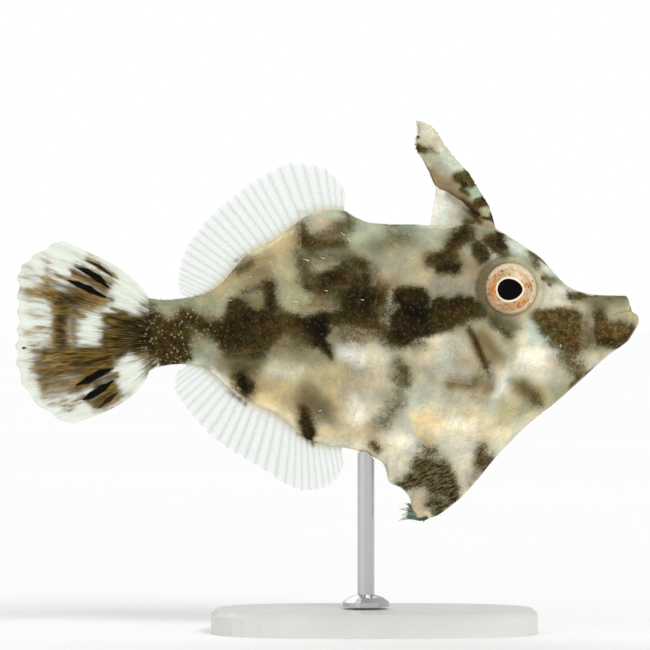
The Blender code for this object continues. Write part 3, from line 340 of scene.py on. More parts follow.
DARK_MARKS = (
    ("bark", 187, 356, 6, 166, 359, 7, 3, 0.9), ("umber", 150, 334, 26, 172, 338, 22, 6, 1.0),
    ("umber", 170, 350, 12, 184, 350, 10, 7, 1.0), ("umber", 184, 316, 9, 206, 322, 8, 6, 1.0),
    ("umber", 203, 325, 7, 226, 332, 10, 5, 1.0), ("umber", 206, 332, 6, 222, 338, 7, 6, 0.8),
    ("smoke", 164, 308, 6, 168, 314, 6, 6, -0.5), ("smoke", 204, 354, 6, 206, 348, 6, 7, -0.4),
    ("bark", 238, 322, 17, 262, 325, 17, 5, 1.0), ("bark", 228, 338, 12, 258, 342, 10, 5, 1.0),
    ("umber", 262, 336, 14, 272, 330, 12, 5, 0.9), ("umber", 232, 306, 7, 246, 303, 6, 4, 0.95),
    ("umber", 256, 288, 4, 268, 285, 4, 5, 0.6), ("bark", 270, 287, 7, 272, 306, 8, 5, 0.95),
    ("umber", 246, 291, 5, 260, 288, 5, 6, 0.6), ("smoke", 250, 301, 4, 258, 301, 4, 4, -0.6),
    ("umber", 282, 318, 9, 302, 325, 9, 5, 0.9), ("umber", 278, 346, 7, 300, 346, 8, 6, 0.45),
    ("umber", 232, 350, 9, 258, 355, 9, 6, 0.85), ("smoke", 238, 366, 9, 254, 368, 9, 7, 0.65),
    ("umber", 238, 270, 6, 250, 265, 6, 6, 0.7), ("umber", 252, 261, 4, 272, 257, 3, 5, 0.4),
    ("bark", 241, 376, 9, 247, 388, 9, 5, 1.0), ("pitch", 241, 380, 3, 245, 386, 4, 4, 0.7),
    ("smoke", 256, 378, 4, 260, 386, 4, 6, 0.4), ("pitch", 316, 325, 11, 322, 330, 9, 4, 1.0),
    ("pitch", 322, 318, 7, 331, 319, 5, 3, 0.95), ("pitch", 318, 340, 9, 326, 346, 5, 4, 1.0),
    ("bark", 326, 350, 5, 331, 357, 3, 3, 0.95), ("bark", 305, 338, 6, 310, 342, 6, 5, 0.8),
    ("bark", 304, 322, 6, 308, 328, 6, 5, 0.85), ("bark", 312, 284, 8, 340, 276, 10, 5, 1.0),
    ("umber", 320, 290, 6, 340, 294, 8, 5, 0.9), ("smoke", 302, 262, 7, 308, 278, 8, 6, 0.75),
    ("smoke", 316, 298, 4, 338, 300, 5, 5, 0.6), ("bark", 340, 270, 6, 344, 266, 5, 4, 0.9),
    ("umber", 352, 262, 8, 364, 266, 8, 5, 0.85), ("bark", 366, 276, 6, 366, 282, 7, 5, 0.9),
    ("umber", 350, 270, 7, 356, 280, 8, 5, 0.8), ("umber", 350, 282, 6, 356, 290, 7, 5, 0.85),
    ("bark", 352, 300, 14, 372, 298, 14, 5, 1.0), ("bark", 340, 316, 7, 372, 316, 9, 5, 1.0),
    ("umber", 336, 320, 6, 376, 324, 6, 5, 0.9), ("umber", 342, 332, 6, 378, 335, 7, 7, 0.6),
    ("umber", 345, 338, 5, 360, 341, 5, 6, 0.6), ("umber", 390, 345, 5, 424, 345, 5, 5, 0.6),
    ("umber", 284, 329, 6, 296, 335, 7, 6, 0.8), ("smoke", 440, 368, 7, 450, 372, 6, 8, 0.3),
    ("smoke", 320, 412, 8, 330, 420, 8, 8, 0.35), ("smoke", 374, 400, 6, 388, 402, 6, 8, 0.3),
    ("smoke", 244, 268, 6, 262, 270, 7, 8, 0.4), ("smoke", 300, 306, 4, 330, 305, 4, 6, 0.5),
    ("smoke", 304, 350, 6, 316, 352, 6, 6, 0.35), ("smoke", 376, 268, 5, 379, 284, 5, 5, 0.55),
    ("umber", 380, 326, 8, 392, 336, 7, 6, 0.85), ("umber", 384, 292, 8, 388, 314, 9, 6, 0.85),
    ("bark", 402, 297, 11, 418, 300, 13, 5, 1.0), ("pitch", 406, 319, 15, 430, 321, 14, 5, 1.0),
    ("bark", 397, 322, 11, 404, 333, 11, 5, 1.0), ("bark", 408, 331, 9, 424, 330, 9, 4, 1.0),
    ("bark", 392, 340, 6, 402, 343, 5, 4, 0.85), ("bark", 440, 304, 9, 470, 303, 7, 4, 1.0),
    ("bark", 440, 312, 10, 476, 308, 8, 4, 1.0), ("umber", 444, 321, 11, 459, 319, 9, 5, 0.95),
    ("umber", 470, 312, 8, 482, 313, 5, 5, 0.9), ("rust", 303, 224, 4, 304, 236, 5, 6, 0.9),
    ("bark", 304, 240, 6, 312, 246, 7, 5, 0.95), ("umber", 312, 245, 6, 342, 244, 5, 5, 0.95),
    ("rust", 318, 236, 6, 342, 230, 6, 7, 0.7), ("rust", 336, 226, 4, 346, 224, 4, 5, 0.7),
    ("smoke", 347, 214, 4, 350, 228, 4, 5, 0.8), ("umber", 298, 254, 5, 302, 274, 5, 7, 0.6),
    ("smoke", 308, 256, 7, 344, 257, 8, 7, 0.65), ("umber", 390, 224, 2, 408, 224, 2.5, 3, 0.8),
    ("smoke", 390, 235, 5, 410, 237, 7, 6, 0.6), ("smoke", 378, 246, 8, 404, 237, 9, 8, 0.5),
    ("umber", 430, 260, 8, 448, 256, 9, 5, 0.9), ("bark", 440, 268, 6, 454, 268, 8, 4, 0.95),
    ("umber", 452, 246, 9, 464, 236, 10, 6, 0.9), ("bark", 456, 234, 7, 466, 232, 6, 6, 0.8),
    ("umber", 478, 246, 7, 482, 256, 8, 4, 0.95), ("bark", 480, 250, 5, 484, 257, 5, 4, 0.9),
    ("umber", 490, 240, 7, 497, 246, 7, 4, 0.95), ("bark", 499, 234, 5, 500, 246, 6, 4, 1.0),
    ("umber", 500, 252, 4, 506, 255, 3, 4, 0.9), ("smoke", 470, 252, 7, 474, 262, 7, 8, 0.25),
    ("moss", 398, 363, 6, 404, 373, 8, 6, 0.75), ("moss", 396, 378, 5, 406, 383, 7, 6, 0.7),
    ("smoke", 398, 392, 6, 402, 400, 6, 8, 0.5), ("smoke", 396, 404, 7, 382, 424, 9, 8, 0.65),
    ("umber", 304, 408, 5, 306, 420, 6, 5, 0.9), ("bark", 305, 416, 5, 308, 431, 8, 4, 1.0),
    ("rust", 306, 392, 8, 318, 408, 10, 10, 0.5), ("bark", 300, 436, 3, 316, 445, 3, 3, 0.9),
    # The rust marks from 469, 328 down to 490, 376 paint the shade along the gill slit.
    ("rust", 373, 445, 4, 377, 449, 4, 4, 0.9), ("rust", 469, 328, 2.5, 476, 344, 3.5, 3, 0.9),
    ("rust", 476, 344, 3.5, 486, 366, 4, 4, 0.85), ("rust", 484, 362, 4, 490, 376, 5, 5, 0.6),
    ("umber", 494, 322, 5, 508, 333, 6, 5, 0.8), ("umber", 486, 314, 4, 496, 320, 5, 5, 0.6),
    ("moss", 508, 322, 5, 518, 328, 5, 5, 0.5), ("hazel", 456, 381, 6, 472, 384, 7, 6, 0.55),
    ("hazel", 482, 336, 6, 494, 352, 8, 7, 0.45), ("rust", 478, 372, 6, 488, 388, 6, 7, 0.4),
    ("hazel", 523, 389, 9, 534, 397, 8, 7, 0.65), ("smoke", 474, 396, 6, 484, 404, 6, 7, 0.4),
    ("umber", 534, 400, 4, 541, 404, 4, 4, 0.7), ("moss", 532, 255, 5, 536, 264, 5, 4, 0.75),
    ("moss", 544, 279, 3, 554, 278, 3, 3, 0.6), ("smoke", 556, 280, 2, 564, 285, 2, 3, 0.5),
    ("moss", 570, 296, 4, 584, 296, 4, 4, 0.95), ("moss", 584, 294, 3, 626, 297, 3, 3, 0.7),
    ("smoke", 590, 300, 5, 612, 302, 5, 6, 0.35), ("hazel", 541, 317, 9, 572, 317, 10, 4, 1.0),
    ("hazel", 548, 327, 9, 571, 330, 12, 5, 1.0), ("hazel", 556, 340, 8, 571, 345, 12, 6, 0.9),
    ("hazel", 568, 358, 12, 576, 368, 9, 8, 0.65), ("umber", 577, 374, 6, 577, 380, 5, 5, 0.65),
    ("hazel", 586, 322, 4, 588, 344, 6, 5, 0.6), ("bark", 582, 375, 3, 572, 385, 3, 3, 0.7),
    ("moss", 546, 316, 7, 556, 322, 8, 6, 0.5), ("umber", 598, 312, 6, 602, 322, 7, 4, 0.9),
    ("hazel", 603, 332, 10, 622, 333, 11, 5, 1.0), ("umber", 600, 342, 6, 616, 343, 6, 4, 0.95),
    ("hazel", 626, 330, 7, 633, 328, 5, 4, 0.95), ("smoke", 596, 306, 5, 604, 308, 5, 5, 0.6),
    ("umber", 627, 337, 5, 634, 330, 4, 3, 0.8), ("hazel", 423, 446, 4, 431, 451, 6, 6, 0.8),
    ("umber", 421, 466, 9, 440, 470, 9, 5, 1.0), ("umber", 412, 480, 8, 446, 480, 10, 5, 1.0),
    ("bark", 410, 483, 5, 399, 484, 3, 4, 0.95), ("moss", 436, 490, 8, 450, 490, 8, 5, 0.9),
    ("bark", 450, 486, 6, 453, 496, 6, 4, 0.9), ("umber", 431, 502, 5, 441, 504, 6, 4, 0.95),
    ("bark", 456, 499, 4, 436, 512, 4, 4, 0.9), ("hazel", 482, 449, 5, 481, 460, 7, 5, 0.9),
    ("bark", 483, 467, 5, 491, 459, 4, 4, 0.85), ("smoke", 492, 452, 3, 470, 486, 3, 5, 0.5),
    ("smoke", 392, 296, 4, 388, 320, 5, 6, -0.4), ("smoke", 206, 300, 6, 209, 317, 6, 6, -0.45),
    ("smoke", 412, 236, 5, 415, 244, 5, 6, -0.4), ("smoke", 556, 388, 5, 548, 394, 5, 6, -0.3),
    ("smoke", 192, 342, 3, 194, 352, 3, 5, -0.4), ("smoke", 239, 372, 4, 235, 378, 3, 4, -0.3),
    ("umber", 236, 292, 3, 258, 294, 3, 4, 0.4), ("bark", 318, 305, 4, 334, 310, 4, 5, 0.5),
    ("umber", 272, 351, 4, 276, 354, 4, 5, 0.4), ("umber", 577, 359, 5, 580, 361, 4, 4, 0.4),
    ("umber", 426, 453, 4, 444, 457, 4, 5, 0.4), ("umber", 346, 343, 3, 374, 347, 3, 6, 0.25),
)
SPINE_MARKS = (
    ("sage", 455, 165, 14, 470, 192, 12, 8, 1.0), ("ice", 448, 158, 10, 462, 170, 8, 6, 0.8),
    ("sand", 424, 142, 7, 432, 142, 8, 5, 0.5), ("taupe", 432, 172, 6, 446, 188, 9, 6, 0.95),
    ("taupe", 446, 188, 9, 474, 214, 9, 5, 0.95), ("mint", 475, 190, 6, 478, 197, 6, 3, 1.0),
    ("lichen", 484, 210, 6, 487, 215, 5, 4, 0.95), ("pearl", 420, 124, 6, 430, 132, 8, 5, 0.9),
    ("lichen", 428, 158, 5, 436, 164, 5, 5, 0.8), ("olive", 432, 174, 3, 438, 180, 4, 4, 0.6),
    ("olive", 480, 222, 7, 490, 230, 8, 6, 0.8),
)
SPINE_DARK_MARKS = (
    ("hazel", 458, 177, 6, 470, 180, 8, 4, 0.9), ("pitch", 463, 183, 3, 464, 186, 3, 3, 0.9),
    ("umber", 478, 203, 5, 484, 201, 5, 3, 0.95), ("umber", 482, 217, 1.5, 494, 219, 2, 2, 0.9),
    ("hazel", 419, 148, 5, 424, 150, 4, 3, 0.8), ("hazel", 430, 149, 4, 437, 154, 3, 4, 0.5),
    ("rust", 462, 200, 3, 476, 209, 4, 4, 0.7), ("bark", 466, 206, 2, 478, 214, 3, 3, 0.9),
    ("umber", 450, 192, 2, 466, 206, 3, 4, 0.6), ("umber", 424, 163, 1.5, 435, 188, 1.5, 2, 0.8),
    ("bark", 415, 136, 1.5, 418, 137, 1.5, 1.5, 0.95), ("moss", 462, 190, 3, 468, 194, 2, 3, 0.8),
    ("bark", 484, 196, 2, 490, 206, 2, 3, 0.7), ("bark", 466, 170, 2, 474, 178, 2, 3, 0.8),
    ("umber", 474, 216, 4, 480, 222, 3, 4, 0.7), ("bark", 491, 214, 2, 494, 222, 2, 2, 0.8),
)
# The web's pale skin, browner towards the spine's foot.
WEB_MARKS = (
    ("ice", 430, 226, 6, 450, 200, 10, 6, 0.7), ("lichen", 456, 216, 8, 462, 224, 8, 6, 0.9),
    ("painted_light", 428, 224, 8, 440, 192, 7, 7, 0.9), ("taupe", 448, 195, 3, 472, 212, 6, 5, 0.9),
    ("khaki", 468, 216, 8, 480, 224, 8, 6, 0.95), ("blush", 452, 223, 3, 455, 225, 3, 3, 0.8),
    ("lilac", 456, 204, 3, 464, 210, 4, 4, 0.7),
)
WEB_DARK_MARKS = (
    ("umber", 472, 211, 4, 480, 218, 4, 4, 0.9), ("moss", 466, 222, 4, 478, 224, 5, 4, 0.8),
    ("smoke", 436, 188, 1, 438, 204, 1, 2, 0.4), ("umber", 464, 208, 2, 472, 214, 3, 3, 0.6),
)
SCUTE_MARKS = (
    ("pearl", 396, 502, 8, 404, 512, 6, 4, 0.9), ("ice", 398, 520, 5, 406, 519, 5, 3, 0.9),
    ("sand", 418, 508, 6, 424, 512, 6, 4, 0.9),
)
SCUTE_DARK_MARKS = (
    ("slate", 410, 508, 3, 412, 517, 5, 3, 0.95), ("smoke", 409, 505, 1.5, 412, 511, 2, 2, 0.8),
    ("moss", 418, 520, 2, 426, 518, 2, 2, 0.9), ("slate", 404, 520, 1.5, 416, 521, 2, 2, 0.7),
)
# Dark stains where the dorsal and anal fins leave the body.
FIN_STAINS = (
    ("moss", 234, 262, 2, 246, 255, 2, 4, 0.7), ("smoke", 298, 214, 3, 312, 208, 3, 5, 0.5),
    ("umber", 231, 392, 3, 246, 402, 3, 5, 0.8), ("umber", 300, 434, 3, 314, 443, 3, 5, 0.8),
    ("smoke", 344, 206, 2, 348, 212, 3, 4, 0.6), ("khaki", 205, 294, 2, 218, 290, 2, 4, 0.5),
)
# The tail fin's brown stains and its black spots, over clear membrane.
TAIL_STAINS = (
    ("bark", 164, 334, 28, 148, 336, 24, 5, 1.0), ("bark", 148, 334, 17, 126, 333, 13, 5, 1.0),
    ("bark", 130, 330, 15, 120, 332, 14, 5, 1.0), ("umber", 122, 320, 10, 110, 320, 8, 4, 1.0),
    ("umber", 122, 338, 12, 110, 338, 9, 4, 1.0), ("amber", 106, 322, 5, 105, 340, 6, 6, 0.9),
    ("umber", 126, 342, 8, 108, 347, 7, 4, 1.0), ("umber", 106, 350, 4.5, 70, 351, 4.5, 3, 1.0),
    ("amber", 112, 355, 8, 46, 354, 8, 5, 1.0), ("amber", 60, 352, 8, 33, 352, 3, 6, 0.95),
    ("honey", 60, 368, 8, 34, 371, 5, 6, 0.8), ("amber", 107, 362, 8.5, 38, 363, 5, 5, 1.0),
    ("amber", 104, 370, 8, 41, 372, 7, 5, 0.95), ("umber", 108, 358, 4, 78, 364, 3, 3, 1.0),
    ("umber", 78, 364, 3, 50, 370, 2.5, 4, 0.8), ("amber", 92, 378, 7, 46, 384, 6, 5, 0.9),
    ("honey", 70, 379, 5, 56, 382, 5, 5, 0.7), ("honey", 56, 361, 3, 46, 363, 3, 4, 0.6),
    ("umber", 58, 375, 2, 40, 379, 2, 3, 0.7), ("amber", 80, 390, 5, 42, 393, 4, 4, 0.75),
    ("honey", 62, 396, 4, 48, 398, 3, 4, 0.7), ("amber", 88, 384, 5, 76, 390, 5, 4, 0.9),
    ("amber", 112, 392, 8, 96, 402, 7, 4, 0.95), ("amber", 110, 386, 6, 96, 386, 6, 4, 0.95),
    ("amber", 121, 396, 5, 102, 407, 5, 4, 0.8), ("honey", 127, 392, 4, 112, 408, 3, 4, 0.7),
    ("amber", 84, 398, 4, 94, 405, 4, 3, 0.9), ("umber", 98, 381, 3, 116, 375, 3, 3, 0.9),
    ("umber", 124, 352, 4, 118, 354, 4, 3, 1.0), ("umber", 74, 273, 4, 104, 288, 5, 3, 1.0),
    ("amber", 54, 284, 4, 80, 291, 4, 4, 0.9), ("umber", 80, 293, 3, 112, 299, 3, 3, 0.9),
    ("amber", 88, 259, 3, 112, 274, 4, 4, 0.8), ("umber", 70, 300, 5, 90, 305, 5, 3, 1.0),
    ("umber", 74, 311, 4, 82, 316, 4, 3, 0.9), ("bark", 158, 350, 9, 154, 366, 4, 3, 1.0),
    ("amber", 84, 400, 3, 62, 409, 3, 4, 0.7), ("amber", 60, 304, 9, 60, 342, 9, 4, 1.0),
    ("umber", 64, 302, 7, 64, 316, 7, 4, 0.95), ("umber", 60, 328, 7, 62, 344, 7, 4, 0.9),
    ("taupe", 73, 318, 6, 74, 342, 5, 4, 0.85), ("amber", 100, 300, 5, 50, 296, 6, 4, 1.0),
    ("umber", 96, 301, 4, 62, 296, 5, 4, 1.0), ("amber", 52, 294, 6, 28, 292, 4, 4, 0.95),
    ("honey", 30, 296, 4, 20, 291, 3, 4, 0.7), ("amber", 82, 306, 5, 66, 310, 5, 4, 0.85),
    ("honey", 102, 308, 3, 84, 310, 4, 4, 0.6), ("amber", 112, 309, 2.5, 122, 314, 3, 3, 0.8),
    ("honey", 47, 262, 3, 47, 288, 6, 5, 0.85), ("amber", 46, 284, 4, 48, 290, 4, 4, 0.7),
    ("honey", 32, 268, 3, 26, 266, 3, 4, 0.6), ("honey", 36, 281, 4, 38, 288, 5, 5, 0.4),
    ("amber", 54, 274, 2, 70, 280, 2.5, 3, 0.85), ("amber", 76, 265, 4, 110, 284, 5, 4, 0.85),
    ("honey", 72, 282, 5, 104, 296, 5, 4, 0.85), ("honey", 90, 260, 4, 112, 277, 4, 4, 0.7),
    ("amber", 70, 290, 4, 100, 298, 4, 4, 0.8), ("honey", 34, 318, 5, 47, 318, 6, 5, 0.5),
    ("honey", 46, 262, 3, 28, 262, 3, 4, 0.4), ("honey", 34, 276, 2, 22, 276, 2, 3, 0.5),
    ("honey", 50, 308, 3, 30, 309, 3, 4, 0.5), ("honey", 50, 332, 3, 26, 333, 3, 4, 0.6),
    ("amber", 34, 327, 1.5, 44, 326, 1.5, 2, 0.7), ("honey", 34, 338, 5, 50, 340, 6, 5, 0.45),
    ("honey", 44, 302, 3, 30, 300, 3, 4, 0.6), ("umber", 150, 298, 2, 160, 300, 3, 3, 0.9),
    ("khaki", 144, 306, 5, 160, 306, 8, 5, 0.8), ("honey", 146, 356, 4, 147, 376, 4, 4, 0.7),
    ("smoke", 152, 362, 6, 160, 356, 8, 5, 0.9), ("smoke", 150, 372, 2, 146, 378, 2, 3, 0.7),
)
TAIL_SPOTS = (
    ("pitch", 74, 266, 0.6, 86, 271, 3, 1.6, 1.0), ("pitch", 86, 271, 3, 98, 278, 3.6, 1.6, 1.0),
    ("pitch", 98, 278, 3.6, 109, 287.5, 1, 1.6, 1.0), ("pitch", 68, 280, 0.8, 78, 284, 3, 1.6, 1.0),
    ("pitch", 78, 284, 3, 90, 289.5, 3.6, 1.6, 1.0), ("pitch", 90, 289.5, 3.6, 105, 297, 1.2, 1.6, 1.0),
    ("bark", 86, 260, 1, 100, 267, 2.2, 1.6, 0.9), ("bark", 100, 267, 2.2, 112, 276, 1, 1.6, 0.9),
    ("pitch", 76, 385.5, 0.8, 88, 380, 3.2, 1.6, 1.0), ("pitch", 88, 380, 3.5, 101, 373, 3.8, 1.6, 1.0),
    ("pitch", 101, 373, 3.4, 113, 368.5, 1.2, 1.6, 1.0), ("pitch", 83, 400, 1, 91, 395.5, 3.8, 1.6, 1.0),
    ("pitch", 91, 395.5, 3.8, 103, 387.5, 3.6, 1.6, 1.0),
    ("pitch", 103, 387.5, 3.4, 113, 380.5, 1, 1.6, 1.0), ("bark", 98, 408, 1, 109, 399, 2.6, 1.8, 0.9),
    ("bark", 109, 399, 2.6, 117, 393, 1, 1.8, 0.9), ("bark", 82, 364, 1.5, 110, 357, 1.5, 2.5, 0.7),
    ("pitch", 22.5, 348, 1.3, 24.5, 348, 1.3, 0.8, 0.9), ("bark", 18, 291, 1, 20, 292, 1, 1, 0.6),
)
# Pale streaks and tassels that break the skin on the flank, pale also as painted glints: x, y, length and
# lean in degrees.
TASSELS = (
    (345, 236, 6, -38), (351, 242, 7, -42), (309, 261, 6, -10), (325, 259, 5, -20), (328, 291, 4, 0),
    (352, 356, 8, 10), (360, 362, 7, -15), (355, 376, 5, 30), (322, 410, 4, 0), (357, 408, 7, 55),
    (384, 437, 8, -30), (392, 446, 7, -35), (298, 302, 6, 0), (276, 272, 5, -20), (232, 300, 4, 10),
    (433, 352, 7, 70), (452, 352, 8, 75), (404, 402, 5, 20), (470, 440, 5, 0), (520, 402, 4, 30),
    (252, 276, 4, 40), (272, 262, 4, 35), (364, 300, 4, 0), (410, 262, 4, 20), (560, 344, 4, 60),
)
TASSEL_RINGS, TASSEL_SIDES = 7, 6
TASSEL_RADIUS = 0.075

# Lamps: direction, spread in degrees and strength as a share of the main lamp's.
LAMPS = (
    ("key", (0.5, -0.8, 0.75), 25, 1.0), ("fill", (-0.8, -0.7, 0.3), 60, 0.35),
    ("back", (-0.2, 0.8, 0.8), 40, 0.5),
)
FLOOR_SIDES = 96
SENSOR_WIDTH = 36.0


def linear(colour):
    """A display colour as the linear light that shaders take."""
    share = np.asarray(colour, float) / 255
    return np.where(share <= 0.04045, share / 12.92, ((share + 0.055) / 1.055) ** 2.4)


def smooth_line(points):
    """A function through the points, with no overshoot between them."""
    xs, ys = np.array(points, float).T
    step = np.diff(xs)
    slope = np.diff(ys) / step
    tangent = np.zeros(len(xs))
    tangent[0], tangent[-1] = slope[0], slope[-1]
    for i in range(1, len(xs) - 1):
        before, after = slope[i - 1], slope[i]
        if before * after > 0:
            near, far = 2 * step[i] + step[i - 1], step[i] + 2 * step[i - 1]
            tangent[i] = (near + far) / (near / before + far / after)

    def line(x):
        x = np.clip(x, xs[0], xs[-1])
        i = np.clip(np.searchsorted(xs, x, side="right") - 1, 0, len(step) - 1)
        t = (x - xs[i]) / step[i]
        return (
            (1 + 2 * t) * (1 - t) ** 2 * ys[i]
            + t * (1 - t) ** 2 * step[i] * tangent[i]
            + t * t * (3 - 2 * t) * ys[i + 1]
            + t * t * (t - 1) * step[i] * tangent[i + 1]
        )

    return line


widest = smooth_line(HALF_WIDTHS)


def smooth_rows(rows):
    """A function that reads between the rows of a table, column by column."""
    lines = [smooth_line(list(enumerate(column))) for column in zip(*rows)]
    return lambda place: np.array([line(place) for line in lines])


def ease(low, high, value):
    """A smooth step from 0 at low to 1 at high."""
    t = np.clip((value - low) / (high - low), 0, 1)
    return t * t * (3 - 2 * t)


def hill(distance, width):
    """A bump of height 1 at distance 0."""
    return np.exp(-((distance / width) ** 2))


def grain(points, size, seed):
    """Smooth noise from 0 to 1 in space, with lumps about as big as size."""
    place = np.asarray(points, float) / size
    cell = np.floor(place).astype(np.int64)
    part = place - cell
    part = part * part * (3 - 2 * part)
    total = np.zeros(len(place))
    for corner in range(8):
        step = np.array([corner & 1, corner >> 1 & 1, corner >> 2 & 1])
        at = cell + step
        mixed = at[:, 0] * 73856093 ^ at[:, 1] * 19349663 ^ at[:, 2] * 83492791 ^ seed * 2654435761
        mixed = (mixed ^ mixed >> 13) * 1274126177 & 0xFFFFFFFF
        drawn = ((mixed ^ mixed >> 16) & 0xFFFF) / 0xFFFF
        total += drawn * np.prod(np.where(step == 1, part, 1 - part), axis=1)
    return total


def paint_marks(points, pale, dark, ground, dark_ground, warp, edge_width=1.0):
    """Colours at points from lists of marks: the pale tone, the dark tone and how far it covers."""
    unit = PLAN_UNIT * (1 - abs(points[:, 1]) / PLAN_DISTANCE)
    plan_x = points[:, 0] / unit + PLAN_MIDDLE[0]
    plan_y = PLAN_MIDDLE[1] - points[:, 2] / unit
    other_side = 1 + LEFT_SWAY * ease(-0.5, 2.5, points[:, 1])
    for size, share in MARK_SWAY:
        reach = warp * share * (other_side if size == MARK_SWAY[0][0] else 1)
        plan_x = plan_x + reach * (grain(points, size, 11) - 0.5)
        plan_y = plan_y + reach * (grain(points, size, 23) - 0.5)

    def covers(marks):
        for tone, x1, y1, r1, x2, y2, r2, soft, strength in marks:
            along_x, along_y = x2 - x1, y2 - y1
            span = max(along_x ** 2 + along_y ** 2, 1e-6)
            t = np.clip(((plan_x - x1) * along_x + (plan_y - y1) * along_y) / span, 0, 1)
            gap = np.hypot(plan_x - x1 - t * along_x, plan_y - y1 - t * along_y) - (r1 + (r2 - r1) * t)
            yield SKIN_LEVEL * linear(TONES[tone]), strength * ease(soft, -soft, gap)

    tone = np.tile(SKIN_LEVEL * linear(TONES[ground]), (len(points), 1))
    for colour, cover in covers(pale):
        tone += (colour - tone) * cover[:, None]
    mark = np.tile(SKIN_LEVEL * linear(TONES[dark_ground]), (len(points), 1))
    field = np.zeros(len(points))
    for colour, cover in covers([(*row[:7], row[7] * edge_width, row[8]) for row in dark]):
        mark += (colour - mark) * np.clip(cover, 0, 1)[:, None]
        added = np.maximum(cover, 0)
        both = np.minimum(field, added)
        field = np.maximum(field, added)
        field = (field + MARK_OVERLAP * both * (1 - field)) * (1 + np.minimum(cover, 0))
    return tone, mark, field


def store(mesh, name, values):
    """Keeps one value or colour for each vertex of the mesh."""
    values = np.asarray(values, float)
    if values.ndim == 1:
        mesh.attributes.new(name, "FLOAT", "POINT").data.foreach_set("value", values)
    elif values.shape[1] == 2:
        mesh.attributes.new(name, "FLOAT2", "POINT").data.foreach_set("vector", values.ravel())
    else:
        full = np.ones((len(values), 4))
        full[:, :3] = values
        mesh.attributes.new(name, "FLOAT_COLOR", "POINT").data.foreach_set("color", full.ravel())


def add_piece(name, points, faces, finish, nodes=()):
    """A piece from points in millimetres, with its finish and the nodes it stands for."""
    mesh = bpy.data.meshes.new(name)
    placed = (np.asarray(points, float) + (0, 0, AXIS_HEIGHT)) * MM
    mesh.from_pydata(placed.tolist(), [], faces)
    form = bmesh.new()
    form.from_mesh(mesh)
    bmesh.ops.recalc_face_normals(form, faces=form.faces)
    form.to_mesh(mesh)
    form.free()
    mesh.shade_smooth()
    mesh.materials.append(finish)
    obj = bpy.data.objects.new(name, mesh)
    bpy.context.scene.collection.objects.link(obj)
    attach(obj, "root")
    if nodes:
        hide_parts(*nodes)
    return obj


def turns(count):
    """Angles spaced evenly round a full turn."""
    return [2 * math.pi * k / count for k in range(count)]


def loft_faces(rings, size, start=0):
    """Faces of a closed surface over rings of equal size, whose points begin at start."""
    last = start + (rings - 1) * size
    faces = [tuple(range(start, start + size)), tuple(range(last, last + size))]
    for low in range(start, last, size):
        for i in range(size):
            j = (i + 1) % size
            faces.append((low + i, low + j, low + size + j, low + size + i))
    return faces


class Wiring:
    """Adds shader or geometry nodes to a tree in short calls, each of which gives the node's output."""

    def __init__(self, tree):
        self.tree = tree

    def feed(self, node, inputs):
        """Links sockets to a node's inputs, and sets plain values on them."""
        for key, value in inputs.items():
            if isinstance(value, bpy.types.NodeSocket):
                self.tree.links.new(value, node.inputs[key])
            else:
                node.inputs[key].default_value = value

    def add(self, kind, inputs=(), **settings):
        node = self.tree.nodes.new(kind)
        for name, value in settings.items():
            setattr(node, name, value)
        self.feed(node, dict(inputs))
        return node

    def value(self, name):
        return self.add("ShaderNodeAttribute", attribute_name=name).outputs["Fac"]

    def colour(self, name):
        return self.add("ShaderNodeAttribute", attribute_name=name).outputs["Color"]

    def math(self, operation, a, b, clamp=False):
        return self.add("ShaderNodeMath", {0: a, 1: b}, operation=operation, use_clamp=clamp).outputs[0]

    def plus(self, a, b, clamp=False):
        return self.math("ADD", a, b, clamp)

    def minus(self, a, b):
        return self.math("SUBTRACT", a, b)

    def times(self, a, b):
        return self.math("MULTIPLY", a, b)

    def most(self, a, b):
        return self.math("MAXIMUM", a, b)

    def blend(self, share, a, b):
        return self.add("ShaderNodeMix", {0: share, 6: a, 7: b}, data_type="RGBA").outputs[2]

    def scaled(self, colour, factor):
        return self.add("ShaderNodeVectorMath", {0: colour, "Scale": factor}, operation="SCALE").outputs[0]

    def tinted(self, colour, tint):
        return self.add("ShaderNodeVectorMath", {0: colour, 1: tint}, operation="MULTIPLY").outputs[0]

    def step(self, value, low, high, start=0.0, end=1.0):
        inputs = {"Value": value, "From Min": low, "From Max": high, "To Min": start, "To Max": end}
        return self.add("ShaderNodeMapRange", inputs, interpolation_type="SMOOTHSTEP").outputs["Result"]

    def uneven(self, colour, low, high, *grades):
        """A colour scaled by noises, each with the factors for its low and its high."""
        for noise, start, end in grades:
            colour = self.scaled(colour, self.step(noise, low, high, start, end))
        return colour

    def place(self):
        return self.add("ShaderNodeTexCoord").outputs["Object"]

    def noise(self, scale, detail=2.0, rough=0.5, place=None):
        inputs = {"Vector": place or self.place(), "Scale": scale, "Detail": detail, "Roughness": rough}
        return self.add("ShaderNodeTexNoise", inputs).outputs["Fac"]

    def cells(self, scale, place=None):
        inputs = {"Vector": place or self.place(), "Scale": scale}
        return self.add("ShaderNodeTexVoronoi", inputs).outputs["Distance"]

    def bump(self, height, strength, distance=0.0002):
        inputs = {"Height": height, "Strength": strength, "Distance": distance}
        return self.add("ShaderNodeBump", inputs).outputs["Normal"]


def rgba(colour):
    """A linear colour with full cover."""
    return (*[float(part) for part in colour[:3]], 1.0)


def shown(colour):
    """A display colour as a shader's colour."""
    return rgba(linear(colour))


def new_finish(name):
    """A material with its wiring and its shader."""
    finish = bpy.data.materials.new(name)
    finish.use_nodes = True
    return finish, Wiring(finish.node_tree), finish.node_tree.nodes["Principled BSDF"]


